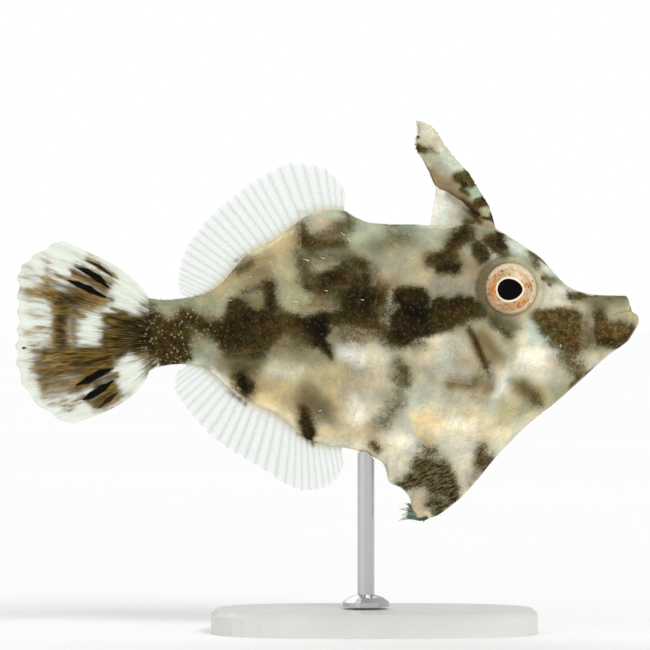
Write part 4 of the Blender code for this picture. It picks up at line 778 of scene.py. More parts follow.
def mottling_group():
    """The effect that joins pale and dark tones with a stippled edge, grain and fine dots."""
    tree = bpy.data.node_groups.new("mottling", "ShaderNodeTree")
    for name in ("Stipple", "Dots", "Speckle"):
        tree.interface.new_socket(name, in_out="INPUT", socket_type="NodeSocketFloat")
    for name, kind in (("Colour", "Color"), ("Cover", "Float"), ("Height", "Float")):
        tree.interface.new_socket(name, in_out="OUTPUT", socket_type=f"NodeSocket{kind}")
    wire = Wiring(tree)
    given = tree.nodes.new("NodeGroupInput").outputs
    place = wire.place()
    fine = wire.noise(4800, 2, 0.75, place)
    coarse = wire.noise(1700, 2, 0.6, place)
    patch = wire.noise(900, 3, 0.6, place)
    cloud = wire.noise(420, 2, 0.5, place)
    weave = wire.noise(1.0, 3, 0.6, wire.colour("weave"))
    # Noise shifts the field of dark marks, most along their edges.
    field = wire.value("field")
    edge = wire.times(wire.times(field, wire.minus(1.0, field)), 4.0)
    edge = wire.plus(edge, wire.times(given["Speckle"], 0.4))
    rough = wire.plus(wire.times(fine, 1.6), wire.times(coarse, 0.8))
    rough = wire.plus(rough, wire.times(patch, 0.5))
    shift = wire.times(wire.minus(rough, 1.45), given["Stipple"])
    deep = wire.plus(field, wire.times(shift, edge))
    cover = wire.step(deep, -0.05, 0.78)
    pale = wire.uneven(
        wire.colour("tone"), 0.3, 0.7, (fine, 0.9, 1.12), (coarse, 0.93, 1.08), (cloud, 0.88, 1.12)
    )
    warmth = wire.blend(wire.step(cloud, 0.35, 0.65), (0.97, 1.0, 1.04, 1), (1.03, 1.0, 0.94, 1))
    pale = wire.tinted(pale, warmth)
    dark = wire.blend(wire.step(deep, 0.2, 0.9), (0.13, 0.10, 0.035, 1), wire.colour("mark"))
    dark = wire.uneven(dark, 0.3, 0.7, (fine, 0.4, 1.5), (coarse, 0.7, 1.25), (patch, 0.6, 1.3))
    greenish = wire.blend(wire.step(cloud, 0.42, 0.58), (0.88, 1.03, 0.95, 1), (1.03, 0.97, 1.0, 1))
    dark = wire.tinted(dark, greenish)
    folded = wire.blend(wire.step(weave, 0.42, 0.62), wire.scaled(dark, 0.85), (0.13, 0.106, 0.05, 1))
    dark = wire.blend(wire.value("woven"), dark, folded)
    dots = wire.times(wire.step(wire.cells(DOT_CELLS, place), *DOT_EDGE), wire.step(coarse, 0.15, 0.5))
    lit = wire.times(wire.times(dots, wire.value("dotted")), given["Dots"])
    dark = wire.blend(lit, dark, DOT_COLOUR)
    height = wire.plus(wire.times(fine, 0.5), wire.times(dots, 0.5))
    made = {"Colour": wire.blend(cover, pale, dark), "Cover": cover, "Height": height}
    wire.add("NodeGroupOutput", made)
    return tree


def skin_finish(settings):
    """Velvety, lightly wet skin: stippled markings, fine bumps and a thin gloss."""
    if "filefish_skin" in bpy.data.materials:
        return bpy.data.materials["filefish_skin"]
    finish, wire, shader = new_finish("filefish_skin")
    given = {"Stipple": settings.stipple, "Dots": settings.dots, "Speckle": settings.speckle}
    mottling = wire.add("ShaderNodeGroup", given, node_tree=mottling_group()).outputs
    height = wire.plus(wire.times(wire.noise(700, 3, 0.6), 0.7), wire.times(mottling["Height"], 0.5))
    wire.feed(shader, {
        "Base Color": mottling["Colour"],
        "Normal": wire.bump(height, 0.35),
        "Roughness": wire.step(mottling["Cover"], 0.0, 1.0, 0.42, 0.55),
        "Specular IOR Level": 0.04,
        "Subsurface Weight": 0.05,
        "Subsurface Radius": (0.9, 0.6, 0.35),
        "Subsurface Scale": MM,
        "Coat Weight": 0.02,
        "Coat Roughness": 0.2,
    })
    return finish


def skin_ring(rib):
    """The skin's points round one rib, up the right side and down the left."""
    back_x, back_h, belly_x, belly_h = rib
    length = math.hypot(back_x - belly_x, back_h - belly_h)
    flap = max(0.0, FLAP_TOP - belly_h) / max(back_h - belly_h, 1e-6) * length
    share_up = (1 + np.sin(np.linspace(-math.pi / 2, math.pi / 2, SKIN_ROWS))) / 2
    reach = share_up * length
    x = belly_x + (back_x - belly_x) * share_up
    height = belly_h + (back_h - belly_h) * share_up
    share = (reach - flap) / (length - flap)
    above = np.maximum(share, 0)
    side = widest(x) * np.maximum(0, 1 - abs(2 * above - 1) ** SECTION_FULLNESS) ** SECTION_ROUNDING
    side *= 1 - TAIL_TAPER * ease(-21.2, -23.0, x)
    if flap > 0:
        rise = np.minimum(reach / flap, 1)
        blade = FLAP_EDGE_HALF_THICKNESS + (FLAP_HALF_THICKNESS - FLAP_EDGE_HALF_THICKNESS) * rise
        blade *= np.sqrt(1 - (1 - np.minimum(reach / FLAP_ROUNDING, 1)) ** 2) * min(flap / FLAP_ROUNDING, 1)
        side = np.hypot(side, blade * (1 - above) ** 2)
    side[0] = side[-1] = 0
    right = np.column_stack([x, -side, height])
    left = np.column_stack([x, side, height])[-2:0:-1]
    return np.vstack([right, left])


def plain_skin():
    """The body's smooth surface as one grid of points, ring by ring."""
    rows = smooth_rows(BODY_RIBS)
    places = []
    for i, (near, far) in enumerate(zip(BODY_RIBS, BODY_RIBS[1:])):
        reach = max(math.dist(near[:2], far[:2]), math.dist(near[2:], far[2:]))
        count = max(2, round(reach / SKIN_SPACING))
        places += [i + j / count for j in range(count)]
    places.append(len(BODY_RIBS) - 1)
    return np.array([skin_ring(rows(place)) for place in places])


def surface_of(points, faces):
    """A function that gives how far the skin lies from the middle plane at places in side view."""
    tree = BVHTree.FromPolygons(points.tolist(), faces)

    def surface(xs, heights):
        found = []
        for x, height in zip(np.atleast_1d(xs), np.atleast_1d(heights)):
            hit = tree.ray_cast(Vector((x, -WELL_CLEAR, height)), Vector((0, 1, 0)))[0]
            found.append(-hit.y if hit else 0.0)
        return np.array(found)

    return surface


def beside(points, line):
    """Signed distance of points from a line on the side view, and how far along it they lie."""
    best = np.full(len(points), 1e9)
    signed, along = np.zeros(len(points)), np.zeros(len(points))
    pieces = len(line) - 1
    for i, ((x1, h1), (x2, h2)) in enumerate(zip(line, line[1:])):
        dx, dh = x2 - x1, h2 - h1
        raw = ((points[:, 0] - x1) * dx + (points[:, 2] - h1) * dh) / (dx * dx + dh * dh)
        t = np.clip(raw, 0, 1)
        gap = np.hypot(points[:, 0] - x1 - t * dx, points[:, 2] - h1 - t * dh)
        side = np.sign(dx * (points[:, 2] - h1) - dh * (points[:, 0] - x1))
        closer = gap < best
        best = np.where(closer, gap, best)
        signed = np.where(closer, gap * side, signed)
        along = np.where(closer, (i + t) / pieces, along)
    return signed, along


def gather(points, surface):
    """Draws the mesh together at the socket rims, nostrils and creases, along the surface."""
    moved = points.copy()
    for (x, height), plain, drawn in ((EYE, *EYE_GATHER), *((spot, *NOSTRIL_GATHER) for spot in NOSTRILS)):
        away = np.hypot(moved[:, 0] - x, moved[:, 2] - height)
        scale = np.where(away > 1e-6, np.interp(away, plain, drawn) / np.maximum(away, 1e-6), 1)
        scale = np.where(away < plain[-1], scale, 1)
        moved[:, 0] = x + (moved[:, 0] - x) * scale
        moved[:, 2] = height + (moved[:, 2] - height) * scale
    for line, reach, _depth, _width, _lip in CREASES:
        gap, along = beside(moved, line)
        share = np.clip(abs(gap) / reach, 0, 1)
        inside = (share < 1) & (along > 0) & (along < 1)
        ends = np.minimum(ease(0, 0.12, along), ease(1, 0.88, along))
        pull = np.where(inside, (1 - share) * CREASE_PULL * ends, 0)
        step = np.array(line[-1]) - np.array(line[0])
        across = np.array([-step[1], step[0]]) / np.hypot(*step)
        moved[:, 0] -= gap * pull * across[0]
        moved[:, 2] -= gap * pull * across[1]
    changed = np.hypot(*(moved - points)[:, [0, 2]].T) > 1e-5
    changed &= abs(points[:, 1]) > 0.05
    side = np.sign(points[:, 1])
    moved[changed, 1] = side[changed] * surface(moved[changed, 0], moved[changed, 2])
    moved[~changed] = points[~changed]
    return moved


def relief(points):
    """How far the skin stands out of the smooth body, in millimetres, and how deep it is creased."""
    x, height = points[:, 0], points[:, 2]
    away = np.hypot(x - EYE[0], height - EYE[1])
    radius, width, rise = ORBIT_RIM
    out = rise * hill(away - radius, width) * ease(*ORBIT_LIP, away)
    beyond, furrow, sunk = ORBIT_FURROW
    out -= sunk * hill(away - radius - beyond, furrow)
    out -= SOCKET_DEPTH * ease(SOCKET_EDGE[1], SOCKET_EDGE[0], away)
    creased = np.zeros(len(points))
    for spot in NOSTRILS:
        near = np.hypot(x - spot[0], height - spot[1])
        out += 0.1 * hill(near - 0.42, 0.14) - NOSTRIL_DEPTH * ease(0.34, 0.16, near)
        creased = np.maximum(creased, ease(0.36, 0.16, near))
    for line, _reach, depth, width, lip in CREASES:
        gap, along = beside(points, line)
        ends = np.minimum(ease(0, 0.1, along), ease(1, 0.6, along) if line is GILL_SLIT else 1)
        out += ends * (lip * hill(gap - 0.4, 0.26) - depth * hill(gap, width))
        creased = np.maximum(creased, hill(gap, width * 1.5) * ends * (1 if line is GILL_SLIT else 0.35))
    folds = np.sin(x * 5.5 + 3 * grain(points, 2.5, 5)) * ease(-15.5, -19, height)
    lumps = grain(points, 1.8, 31) - 0.5
    fleshy = grain(points, 0.7, 37) - 0.5
    out += FLAP_FOLDS * folds * ease(22, 18, x) + SKIN_LUMPS * lumps + SKIN_DIMPLES * fleshy
    return out, creased


def skin_normals(points, faces):
    """The outward direction of each point of a closed grid."""
    mesh = bpy.data.meshes.new("normals")
    mesh.from_pydata(points.tolist(), [], faces)
    form = bmesh.new()
    form.from_mesh(mesh)
    bmesh.ops.recalc_face_normals(form, faces=form.faces)
    form.to_mesh(mesh)
    form.free()
    found = np.zeros(len(points) * 3)
    mesh.vertex_normals.foreach_get("vector", found)
    bpy.data.meshes.remove(mesh)
    return found.reshape(-1, 3)


def dress(mesh, points, pale, dark, ground="pearl", dark_ground="umber", warp=9.0, dotted=0.3,
          edge_width=1.0, retouch=None):
    """Stores the markings on a mesh made from the points; retouch may change their tones."""
    tone, mark, field = paint_marks(points, pale, dark, ground, dark_ground, warp, edge_width)
    if retouch:
        retouch(tone, mark)
    store(mesh, "tone", tone)
    store(mesh, "mark", mark)
    store(mesh, "field", field)
    store(mesh, "dotted", np.full(len(points), 1.0) * dotted)
    # Axes along and across the slanting folds of the flap.
    along = (points[:, 0] + FOLD_SLANT * points[:, 2]) * 0.9
    across = (points[:, 2] - FOLD_SLANT * points[:, 0]) * 3.2
    store(mesh, "weave", np.column_stack([along, across, points[:, 1]]))
    store(mesh, "woven", ease(-15, -17.5, points[:, 2]))


def stray(points):
    """Places read for the skin's marks: they drift along the fish's edge and over its left flank."""
    x, y, height = points.T
    drift = EDGE_DRIFT * ease(1.0, 0.2, abs(y)) * ease(-17, -13, height) * ease(-20, -14, x)
    astray = LEFT_DRIFT * ease(0.3, 1.8, y) * ease(-20, -14, x) * ease(-20, -17, height)
    astray *= 1 - 0.85 * ease(12, 17, x)
    shifted = points.copy()
    for axis, seed in ((0, 61), (2, 67)):
        shifted[:, axis] += drift * (grain(points, 1.3, seed) - 0.5)
        shifted[:, axis] += astray * (grain(points, 9.0, seed + 30) - 0.5)
    return shifted


def build_skin(settings):
    """The skin over the six nodes of flesh, with its relief, its markings and its bristles' lie."""
    grid = plain_skin()
    rings, size = grid.shape[:2]
    plain = grid.reshape(-1, 3)
    faces = loft_faces(rings, size)
    points = gather(plain, surface_of(plain, faces))
    out, creased = relief(points)
    edge = ease(0.0, 0.6, abs(points[:, 1]))
    points = points + skin_normals(points, faces) * ((out * edge - SKIN_SUNK) * settings.relief)[:, None]
    skin = add_piece("skin", points, faces, skin_finish(settings), FLESH_NODES).data
    x, height = points[:, 0], points[:, 2]
    away = np.hypot(x - EYE[0], height - EYE[1])
    outward = skin_normals(points, faces)

    def retouch(tone, mark):
        """Tones the ring round the eye with painted light and shade, lightens the underside as pale skin
        and painted fill light, and paints shade into the creases.
        """
        ring = ease(4.9, 4.2, away)
        # The ring and the skin next to the eyeball are painted lighter ahead, where the light falls, and
        # darker behind: painted light and shade over the fish's own tones.
        lit = ease(-1, 1, (x - EYE[0] + 0.1 * (height - EYE[1])) / np.maximum(away, 1))[:, None]
        goal, inner = (
            linear(rear) * (1 - lit) + linear(front) * lit for rear, front in (RING_SHADE_AND_LIGHT_TONES, RIM_SHADE_AND_LIGHT_TONES)
        )
        tone += (goal - tone) * (0.85 * ring)[:, None]
        tone += (inner - tone) * ease(3.66, 3.45, away)[:, None]
        mark += (linear(RING_MARK_TONE) - mark) * (0.6 * ring)[:, None]
        # Skin that faces down is lightened: pale underside and painted fill light.
        tone *= 1 + (UNDERSIDE_PALENESS_AND_PAINTED_FILL * ease(-0.1, -0.8, outward[:, 2]) * ease(30, 26, x))[:, None]
        # Creases and nostrils are darkened: painted shade.
        for colour, goal in zip((tone, mark), CREASE_SHADE_TONES):
            colour += (linear(goal) - colour) * 0.8 * creased[:, None]

    dotted = 0.12 + 0.88 * ease(-12, -18, x) + 0.2 * ease(27, 30, x) + 0.15 * ease(-15, -18, height)
    dress(skin, stray(points), PALE_MARKS, DARK_MARKS, dotted=np.minimum(dotted, 1), edge_width=1.9,
          retouch=retouch)
    around = np.tile(np.arange(size) / size, rings)
    store(skin, "root_plan", np.column_stack([np.repeat(np.arange(rings) / rings, size), around]))
    bristly = np.where(away < 4.4, 0, 0.5 + 0.5 * ease(-12, -15, x))
    bristly *= 1 - creased
    store(skin, "bristly", np.where(x < -22.5, 0, bristly))
    store(skin, "bristle_length", 0.55 + 1.2 * ease(-12, -16, x))
    store(skin, "lie", outward * BRISTLE_RISE + np.array(BRISTLE_LEAN))


def bristle_tree(finish):
    """Geometry nodes that set short bristles on a skin, along its stored lie."""
    tree = bpy.data.node_groups.new("bristle_field", "GeometryNodeTree")
    tree.interface.new_socket("Skin", in_out="INPUT", socket_type="NodeSocketGeometry")
    for name in ("Density", "Length", "Radius"):
        tree.interface.new_socket(name, in_out="INPUT", socket_type="NodeSocketFloat")
    tree.interface.new_socket("Bristles", in_out="OUTPUT", socket_type="NodeSocketGeometry")
    wire = Wiring(tree)
    given = tree.nodes.new("NodeGroupInput").outputs

    def kept(name, kind="FLOAT"):
        node = wire.add("GeometryNodeInputNamedAttribute", {"Name": name}, data_type=kind)
        return node.outputs["Attribute"]

    density = wire.times(kept("bristly"), given["Density"])
    roots = {"Mesh": given["Skin"], "Density": density, "Seed": 5}
    sown = wire.add("GeometryNodeDistributePointsOnFaces", roots, distribute_method="RANDOM")
    shape = {"Vertices": 3, "Radius Top": 0.0, "Radius Bottom": given["Radius"], "Depth": given["Length"]}
    cone = wire.add("GeometryNodeMeshCone", shape).outputs["Mesh"]
    lie = {"Vector": kept("lie", "FLOAT_VECTOR")}
    turn = wire.add("FunctionNodeAlignRotationToVector", lie, axis="Z").outputs[0]
    low, high = BRISTLE_SPREAD
    varied = wire.add("FunctionNodeRandomValue", {2: low, 3: high, "Seed": 9}, data_type="FLOAT").outputs[1]
    length = wire.times(varied, kept("bristle_length"))
    scale = wire.add("ShaderNodeCombineXYZ", {0: 1.0, 1: 1.0, 2: length}).outputs[0]
    bristles = {"Points": sown.outputs["Points"], "Instance": cone, "Rotation": turn, "Scale": scale}
    placed = wire.add("GeometryNodeInstanceOnPoints", bristles).outputs["Instances"]
    real = wire.add("GeometryNodeRealizeInstances", {"Geometry": placed}).outputs[0]
    dressed = wire.add("GeometryNodeSetMaterial", {"Geometry": real, "Material": finish}).outputs[0]
    wire.add("NodeGroupOutput", {0: dressed})
    return tree


def build_bristles(settings):
    """Short bristles over the skin, longest before the tail fin."""
    tree = bristle_tree(skin_finish(settings))
    obj = bpy.data.objects.new("bristles", bpy.data.objects["skin"].data.copy())
    bpy.context.scene.collection.objects.link(obj)
    field = obj.modifiers.new("bristle_field", "NODES")
    field.node_group = tree
    length = settings.bristle_length
    density = settings.bristle_density / MM ** 2
    sizes = {"Density": density, "Length": length, "Radius": length * BRISTLE_WIDTH}
    for item in tree.interface.items_tree:
        if item.name in sizes:
            field[item.identifier] = sizes[item.name]
    mesh = bpy.data.meshes.new_from_object(obj.evaluated_get(bpy.context.evaluated_depsgraph_get()))
    obj.modifiers.clear()
    obj.data = mesh
    mesh.name = "bristles"
    count = len(mesh.vertices)
    roots = np.zeros(count * 2)
    mesh.attributes["root_plan"].data.foreach_get("vector", roots)
    spread = np.array([(0, 0), (1, 0), (0, 1), (1, 1)]) * TUFT_PATCH
    plan = roots.reshape(-1, 2) + np.tile(spread, (count // 4 + 1, 1))[:count]
    corners = np.zeros(len(mesh.loops), int)
    mesh.loops.foreach_get("vertex_index", corners)
    mesh.uv_layers.new(name="OFBake").data.foreach_set("uv", plan[corners].ravel())
    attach(obj, "root")


def build_tassels():
    """Pale tassels of skin, which lie along the flanks."""
    skin = BVHTree.FromObject(bpy.data.objects["skin"], bpy.context.evaluated_depsgraph_get())
    draw = random.Random(3)
    points, faces = [], []
    for side in (-1, 1):
        for plan_x, plan_y, length, lean in TASSELS:
            if side > 0:
                plan_x, plan_y = plan_x + draw.uniform(-6, 6), plan_y + draw.uniform(-5, 5)
            x = (plan_x - PLAN_MIDDLE[0]) * PLAN_UNIT
            height = (PLAN_MIDDLE[1] - plan_y) * PLAN_UNIT
            reach = length * PLAN_UNIT * draw.uniform(0.9, 1.1)
            lean = math.radians(lean + draw.uniform(-8, 8))
            ahead = Vector((math.cos(lean), 0, math.sin(lean)))
            faces += loft_faces(TASSEL_RINGS, TASSEL_SIDES, len(points))
            for i in range(TASSEL_RINGS):
                share = i / (TASSEL_RINGS - 1)
                spot = Vector((x, 0, height)) - ahead * reach * share
                from_side = Vector((spot.x * MM, side * WELL_CLEAR * MM, (spot.z + AXIS_HEIGHT) * MM))
                hit, normal = skin.ray_cast(from_side, Vector((0, -side, 0)))[:2]
                if hit is None:
                    raise RuntimeError(f"a tassel at {plan_x:.0f}, {plan_y:.0f} misses the skin")
                lift = -0.04 + 0.16 * math.sin(share * math.pi * 0.55)
                middle = Vector((hit.x / MM, hit.y / MM, hit.z / MM - AXIS_HEIGHT)) + normal * lift
                across = normal.cross(ahead).normalized()
                radius = TASSEL_RADIUS * (1 - share ** 2 * 0.85) * (0.7 + 0.05 * length)
                for turn in turns(TASSEL_SIDES):
                    around = across * math.cos(turn) + normal * 0.5 * math.sin(turn)
                    points.append(tuple(middle + around * radius))
    add_piece("tassels", points, faces, tassel_glint_finish())


def tassel_glint_finish():
    """Pale skin in two tones with a fine grain, light enough to paint the glints the tassels catch."""
    finish, wire, shader = new_finish("tassel_skin_and_glint")
    cloud = wire.step(wire.noise(1600, 4, 0.6), 0.35, 0.65)
    fine = wire.noise(6400, 3, 0.6)
    wire.feed(shader, {
        "Base Color": wire.blend(cloud, (0.72, 0.68, 0.54, 1), (0.5, 0.46, 0.33, 1)),
        "Normal": wire.bump(fine, 0.15),
        "Roughness": wire.step(fine, 0.2, 0.8, 0.45 * 0.85, 0.45 * 1.15),
    })
    return finish


def pupil_edge(angle):
    """The pupil's edge, a drop with its point forward, as a share of the eye's radius."""
    x, z = math.cos(angle), math.sin(angle)
    turn = angle if angle < math.pi else angle - 2 * math.pi
    behind, ahead, across = PUPIL_REACH
    radius = 1 / math.hypot(x / (ahead if x > 0 else behind), z / across) * (1 + 0.07 * hill(turn, 0.35))
    return x * radius + PUPIL_MIDDLE[0], z * radius + PUPIL_MIDDLE[1]


def iris_finish(settings):
    """Creamy iris with orange and brown specks, a pale ring round the pupil and a soft outer line."""
    finish, wire, shader = new_finish("filefish_iris")
    ring = wire.value("iris_ring")
    shade = wire.value("iris_shade")
    place = wire.place()
    specks = wire.noise(2700, 3, 0.75, place)
    clouds = wire.noise(1500, 3, 0.6, place)
    fibres = wire.noise(1.0, 3, 0.6, wire.colour("iris_polar"))
    golden = wire.plus(wire.step(clouds, 0.52, 0.7, 0.0, 0.7), wire.value("iris_warmth"), clamp=True)
    specked = wire.plus(wire.step(clouds, 0.42, 0.62, 0.1, 0.8), shade, clamp=True)
    flecked = wire.step(specks, 0.6, 0.45, 0.35, 0.85)
    colour = rgba(settings.iris_pale)
    for share, tone in (
        (wire.step(fibres, 0.36, 0.66, 0.0, 0.6), shown(IRIS_TONES["fibre"])),
        (wire.step(specks, 0.4, 0.62, 0.0, 0.5), shown(IRIS_TONES["fleck"])),
        (wire.times(golden, wire.step(specks, 0.3, 0.55, 0.3, 1.0)), rgba(settings.iris_warm)),
        (wire.times(shade, wire.step(clouds, 0.62, 0.4, 0.35, 1.0)), shown(IRIS_TONES["dusk"])),
        (wire.times(wire.step(specks, 0.5, 0.62), specked), rgba(settings.iris_deep)),
        (wire.times(wire.step(ring, 1.6, 1.72), flecked), shown(IRIS_TONES["rim"])),
        (wire.step(ring, 1.17, 1.06), shown(IRIS_TONES["pupil ring"])),
        (wire.step(ring, 1.84, 1.97), shown(IRIS_TONES["outer line"])),
    ):
        colour = wire.blend(share, colour, tone)
    wire.feed(shader, {
        "Base Color": colour,
        "Normal": wire.bump(specks, 0.15, 0.0001),
        "Roughness": wire.step(specks, 0.2, 0.8, 0.2, 0.32),
        "Specular IOR Level": 0.2,
        "Coat Weight": 0.2,
        "Coat Roughness": 0.04,
    })
    return finish


def pupil_finish():
    """Nearly black, slightly warm, with a wet surface."""
    finish, wire, shader = new_finish("filefish_pupil")
    cloud = wire.noise(900, 2, 0.5)
    wire.feed(shader, {
        "Base Color": wire.blend(cloud, (0.002, 0.0015, 0.001, 1), (0.004, 0.003, 0.003, 1)),
        "Roughness": wire.step(cloud, 0.0, 1.0, 0.06, 0.1),
        "Specular IOR Level": 0.04,
    })
    return finish


def soft_spots(u, v, spots):
    """The strength at a place on the eye of soft spots: their place, half sizes and strength."""
    return min(1, sum(
        strength * hill(u - at_u, wide) * hill(v - at_v, high) for at_u, at_v, wide, high, strength in spots
    ))


def build_eye(side, name, settings):
    """One eyeball, with the pupil's edge and the iris as rings of the mesh."""
    low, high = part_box(f"eye_{name}")
    middle_y = (low[1] + high[1]) / 2 / MM
    shares = np.concatenate([np.linspace(0.08, 1, PUPIL_RINGS), 1 + np.linspace(0.03, 1, IRIS_RINGS)])
    angles = np.linspace(0, 2 * math.pi, EYE_SIDES, endpoint=False)
    edge = np.array([pupil_edge(angle) for angle in angles])
    circle = np.column_stack([np.cos(angles), np.sin(angles)])
    points, ring_of, warmth, shade, polar = [], [], [], [], []
    for share in shares:
        flat = edge * share if share <= 1 else edge + (circle * 0.995 - edge) * (share - 1)
        out = EYE_HALF_DEPTH * np.sqrt(np.maximum(1 - np.hypot(*flat.T) ** 2, 0))
        if share < 1:
            out = out + PUPIL_SWELL * (1 - share ** 2)
        else:
            out = out - IRIS_DIP * math.sin(math.pi * min(share - 1, 1))
        for (u, v), o in zip(flat, out):
            points.append((EYE[0] + EYE_RADIUS * u, middle_y + side * o, EYE[1] + EYE_RADIUS * v))
            ring_of.append(share)
            warmth.append(soft_spots(u, v, WARM_SPOTS))
            shade.append(soft_spots(u, v, DUSKY_SPOTS))
            away = max(math.hypot(u, v), 0.01)
            polar.append((u / away * IRIS_FIBRES, v / away * IRIS_FIBRES, share * 2.5))
    for depth in EYE_REAR_RINGS:
        shrink = math.cos(depth * math.pi / 2)
        inwards = side * EYE_HALF_DEPTH * math.sin(depth * math.pi / 2)
        for u, v in circle:
            x, height = EYE[0] + EYE_RADIUS * u * shrink, EYE[1] + EYE_RADIUS * v * shrink
            points.append((x, middle_y - inwards, height))
            ring_of.append(2.0)
            warmth.append(0.0)
            shade.append(0.3)
            polar.append((u * IRIS_FIBRES, v * IRIS_FIBRES, 5.0))
    faces = loft_faces(len(shares) + len(EYE_REAR_RINGS), EYE_SIDES)
    ball = add_piece(f"eyeball_{name}", points, faces, iris_finish(settings), (f"eye_{name}",)).data
    ball.materials.append(pupil_finish())
    for face in ball.polygons:
        if all(ring_of[k] <= 1.001 for k in face.vertices):
            face.material_index = 1
    for kind, values in (("ring", ring_of), ("warmth", warmth), ("shade", shade), ("polar", polar)):
        store(ball, f"iris_{kind}", values)


def fin_finish(name, settings, thin, thick, foot, fleck=0.0):
    """Clear fin skin: rays stand whiter and denser in a membrane that light passes through."""
    finish, wire, shader = new_finish(name)
    crest = wire.value("ray")
    out = wire.value("out")
    cloud = wire.noise(900, 3, 0.6)
    joints = wire.times(wire.step(wire.noise(3200, 2, 0.5), 0.4, 0.65), fleck)
    colour = wire.blend(crest, rgba(settings.membrane), rgba(settings.ray))
    colour = wire.blend(wire.times(wire.step(out, 0.16, 0.0), 0.6), colour, shown(FIN_FOOT_TONE))
    colour = wire.blend(joints, colour, shown(FIN_JOINT_TONE))
    uneven = wire.minus(cloud, 0.5)
    ragged = wire.plus(wire.value("field"), wire.times(uneven, 0.8))
    stain = wire.times(wire.step(ragged, 0.2, 0.75), wire.step(crest, 0.0, 0.5, 0.75, 1.0))
    body = wire.plus(wire.step(crest, 0.1, 0.9, thin, thick), wire.step(out, 0.3, 0.0, 0.0, foot))
    body = wire.most(wire.plus(body, wire.times(uneven, 0.1), clamp=True), stain)
    wire.feed(shader, {
        "Base Color": wire.blend(stain, colour, wire.colour("mark")),
        "Alpha": wire.times(body, wire.step(out, 1.0, 0.92, 0.35, 1.0)),
        "Roughness": wire.step(cloud, 0.2, 0.8, 0.25, 0.4),
        "Normal": wire.bump(cloud, 0.08),
    })
    return finish


def plate_faces(columns, rows):
    """Faces of a closed plate whose points run (column, row, side)."""
    def spot(column, row, side):
        return (column * rows + row) * 2 + side

    faces = []
    for a in range(columns - 1):
        for r in range(rows - 1):
            for side in (0, 1):
                faces.append((spot(a, r, side), spot(a + 1, r, side), spot(a + 1, r + 1, side)))
                faces.append((spot(a, r, side), spot(a + 1, r + 1, side), spot(a, r + 1, side)))
        for r in (0, rows - 1):
            faces.append((spot(a, r, 0), spot(a + 1, r, 0), spot(a + 1, r, 1), spot(a, r, 1)))
    for a in (0, columns - 1):
        for r in range(rows - 1):
            faces.append((spot(a, r, 0), spot(a, r + 1, 0), spot(a, r + 1, 1), spot(a, r, 1)))
    return faces


def rayed_fin(name, rays, count, sheet, half, crest_of, finish, node, columns=8, rows=26,
              notch=FIN_NOTCH, bow=(0.0, 0.0)):
    """A fin whose rays stand up from its own surface; half gives (crest, out) a half thickness.

    The first and the last ray bow outwards by the two sizes of bow, and the rays beside them less.
    """
    table = smooth_rows(rays)
    points, crests, outs = [], [], []
    total = columns * count + 1
    for i in range(total):
        along = i / (total - 1)
        cell = (along * count) % 1.0
        foot_x, foot_z, tip_x, tip_z = table(along * (len(rays) - 1))
        foot, tip = Vector((foot_x, foot_z)), Vector((tip_x, tip_z))
        direction = (tip - foot).normalized()
        outwards = Vector((direction.y, -direction.x))
        outwards *= bow[0] * (1 - along) ** BOW_FADE - bow[1] * along ** BOW_FADE
        middle = 0.5 - 0.5 * math.cos(2 * math.pi * cell)
        length = (tip - foot).length - notch * (1 - middle)
        for reach in np.linspace(-FIN_SUNK, length, rows):
            out = max(reach, 0) / length
            spot = foot + direction * reach + outwards * math.sin(math.pi * out ** BOW_SKEW)
            crest = crest_of(cell, out)
            thick = half(crest, out)
            y = sheet(along, out, spot)
            points += [(spot.x, y - thick, spot.y), (spot.x, y + thick, spot.y)]
            crests += [crest, crest]
            outs += [out, out]
    mesh = add_piece(name, points, plate_faces(total, rows), finish, (node,)).data
    store(mesh, "ray", crests)
    store(mesh, "out", outs)
    return mesh, np.array(points), np.array(outs)


def single_crest(cell, _out):
    """One smooth ray in the middle of its cell."""
    return math.exp(-(((cell - 0.5) / RAY_WIDTH) ** 2))


def branched_crest(cell, out):
    """A ray that parts in two and then in four towards the margin."""
    apart = 0.13 * ease(0.12, 0.4, out)
    again = 0.06 * ease(0.5, 0.8, out)
    width = RAY_WIDTH - 0.11 * ease(0.1, 0.8, out)
    best = 0.0
    for side in (-1, 1):
        for twig in (-1, 1):
            best = max(best, math.exp(-(((cell - 0.5 - side * apart - twig * again) / width) ** 2)))
    return float(best)


def wave(size, periods):
    """A gentle sideways wave that grows towards the margin."""
    return lambda along, out, _spot: size * out ** 1.5 * math.sin(2 * math.pi * periods * along)


def median_half(crest, out):
    """Half thickness of the dorsal and anal fins."""
    return 0.21 + 0.08 * crest * (1 - 0.6 * out) - 0.07 * out


def build_median_fins(settings):
    """The soft dorsal fin and the anal fin, colourless with fine rays."""
    clear = fin_finish("clear_fin", settings, settings.clear_cover, 0.6, 0.25, 0.15)
    size, periods = MEDIAN_WAVE
    for name, rays, count, sway in (
        ("dorsal_fin", DORSAL_RAYS, DORSAL_RAY_COUNT, wave(size, periods)),
        ("anal_fin", ANAL_RAYS, ANAL_RAY_COUNT, wave(-size, periods)),
    ):
        mesh, points, _outs = rayed_fin(f"soft_{name}", rays, count, sway, median_half, single_crest, clear,
                                        name)
        dress(mesh, points, (), FIN_STAINS, "ice", "umber", warp=4.0, edge_width=1.3)


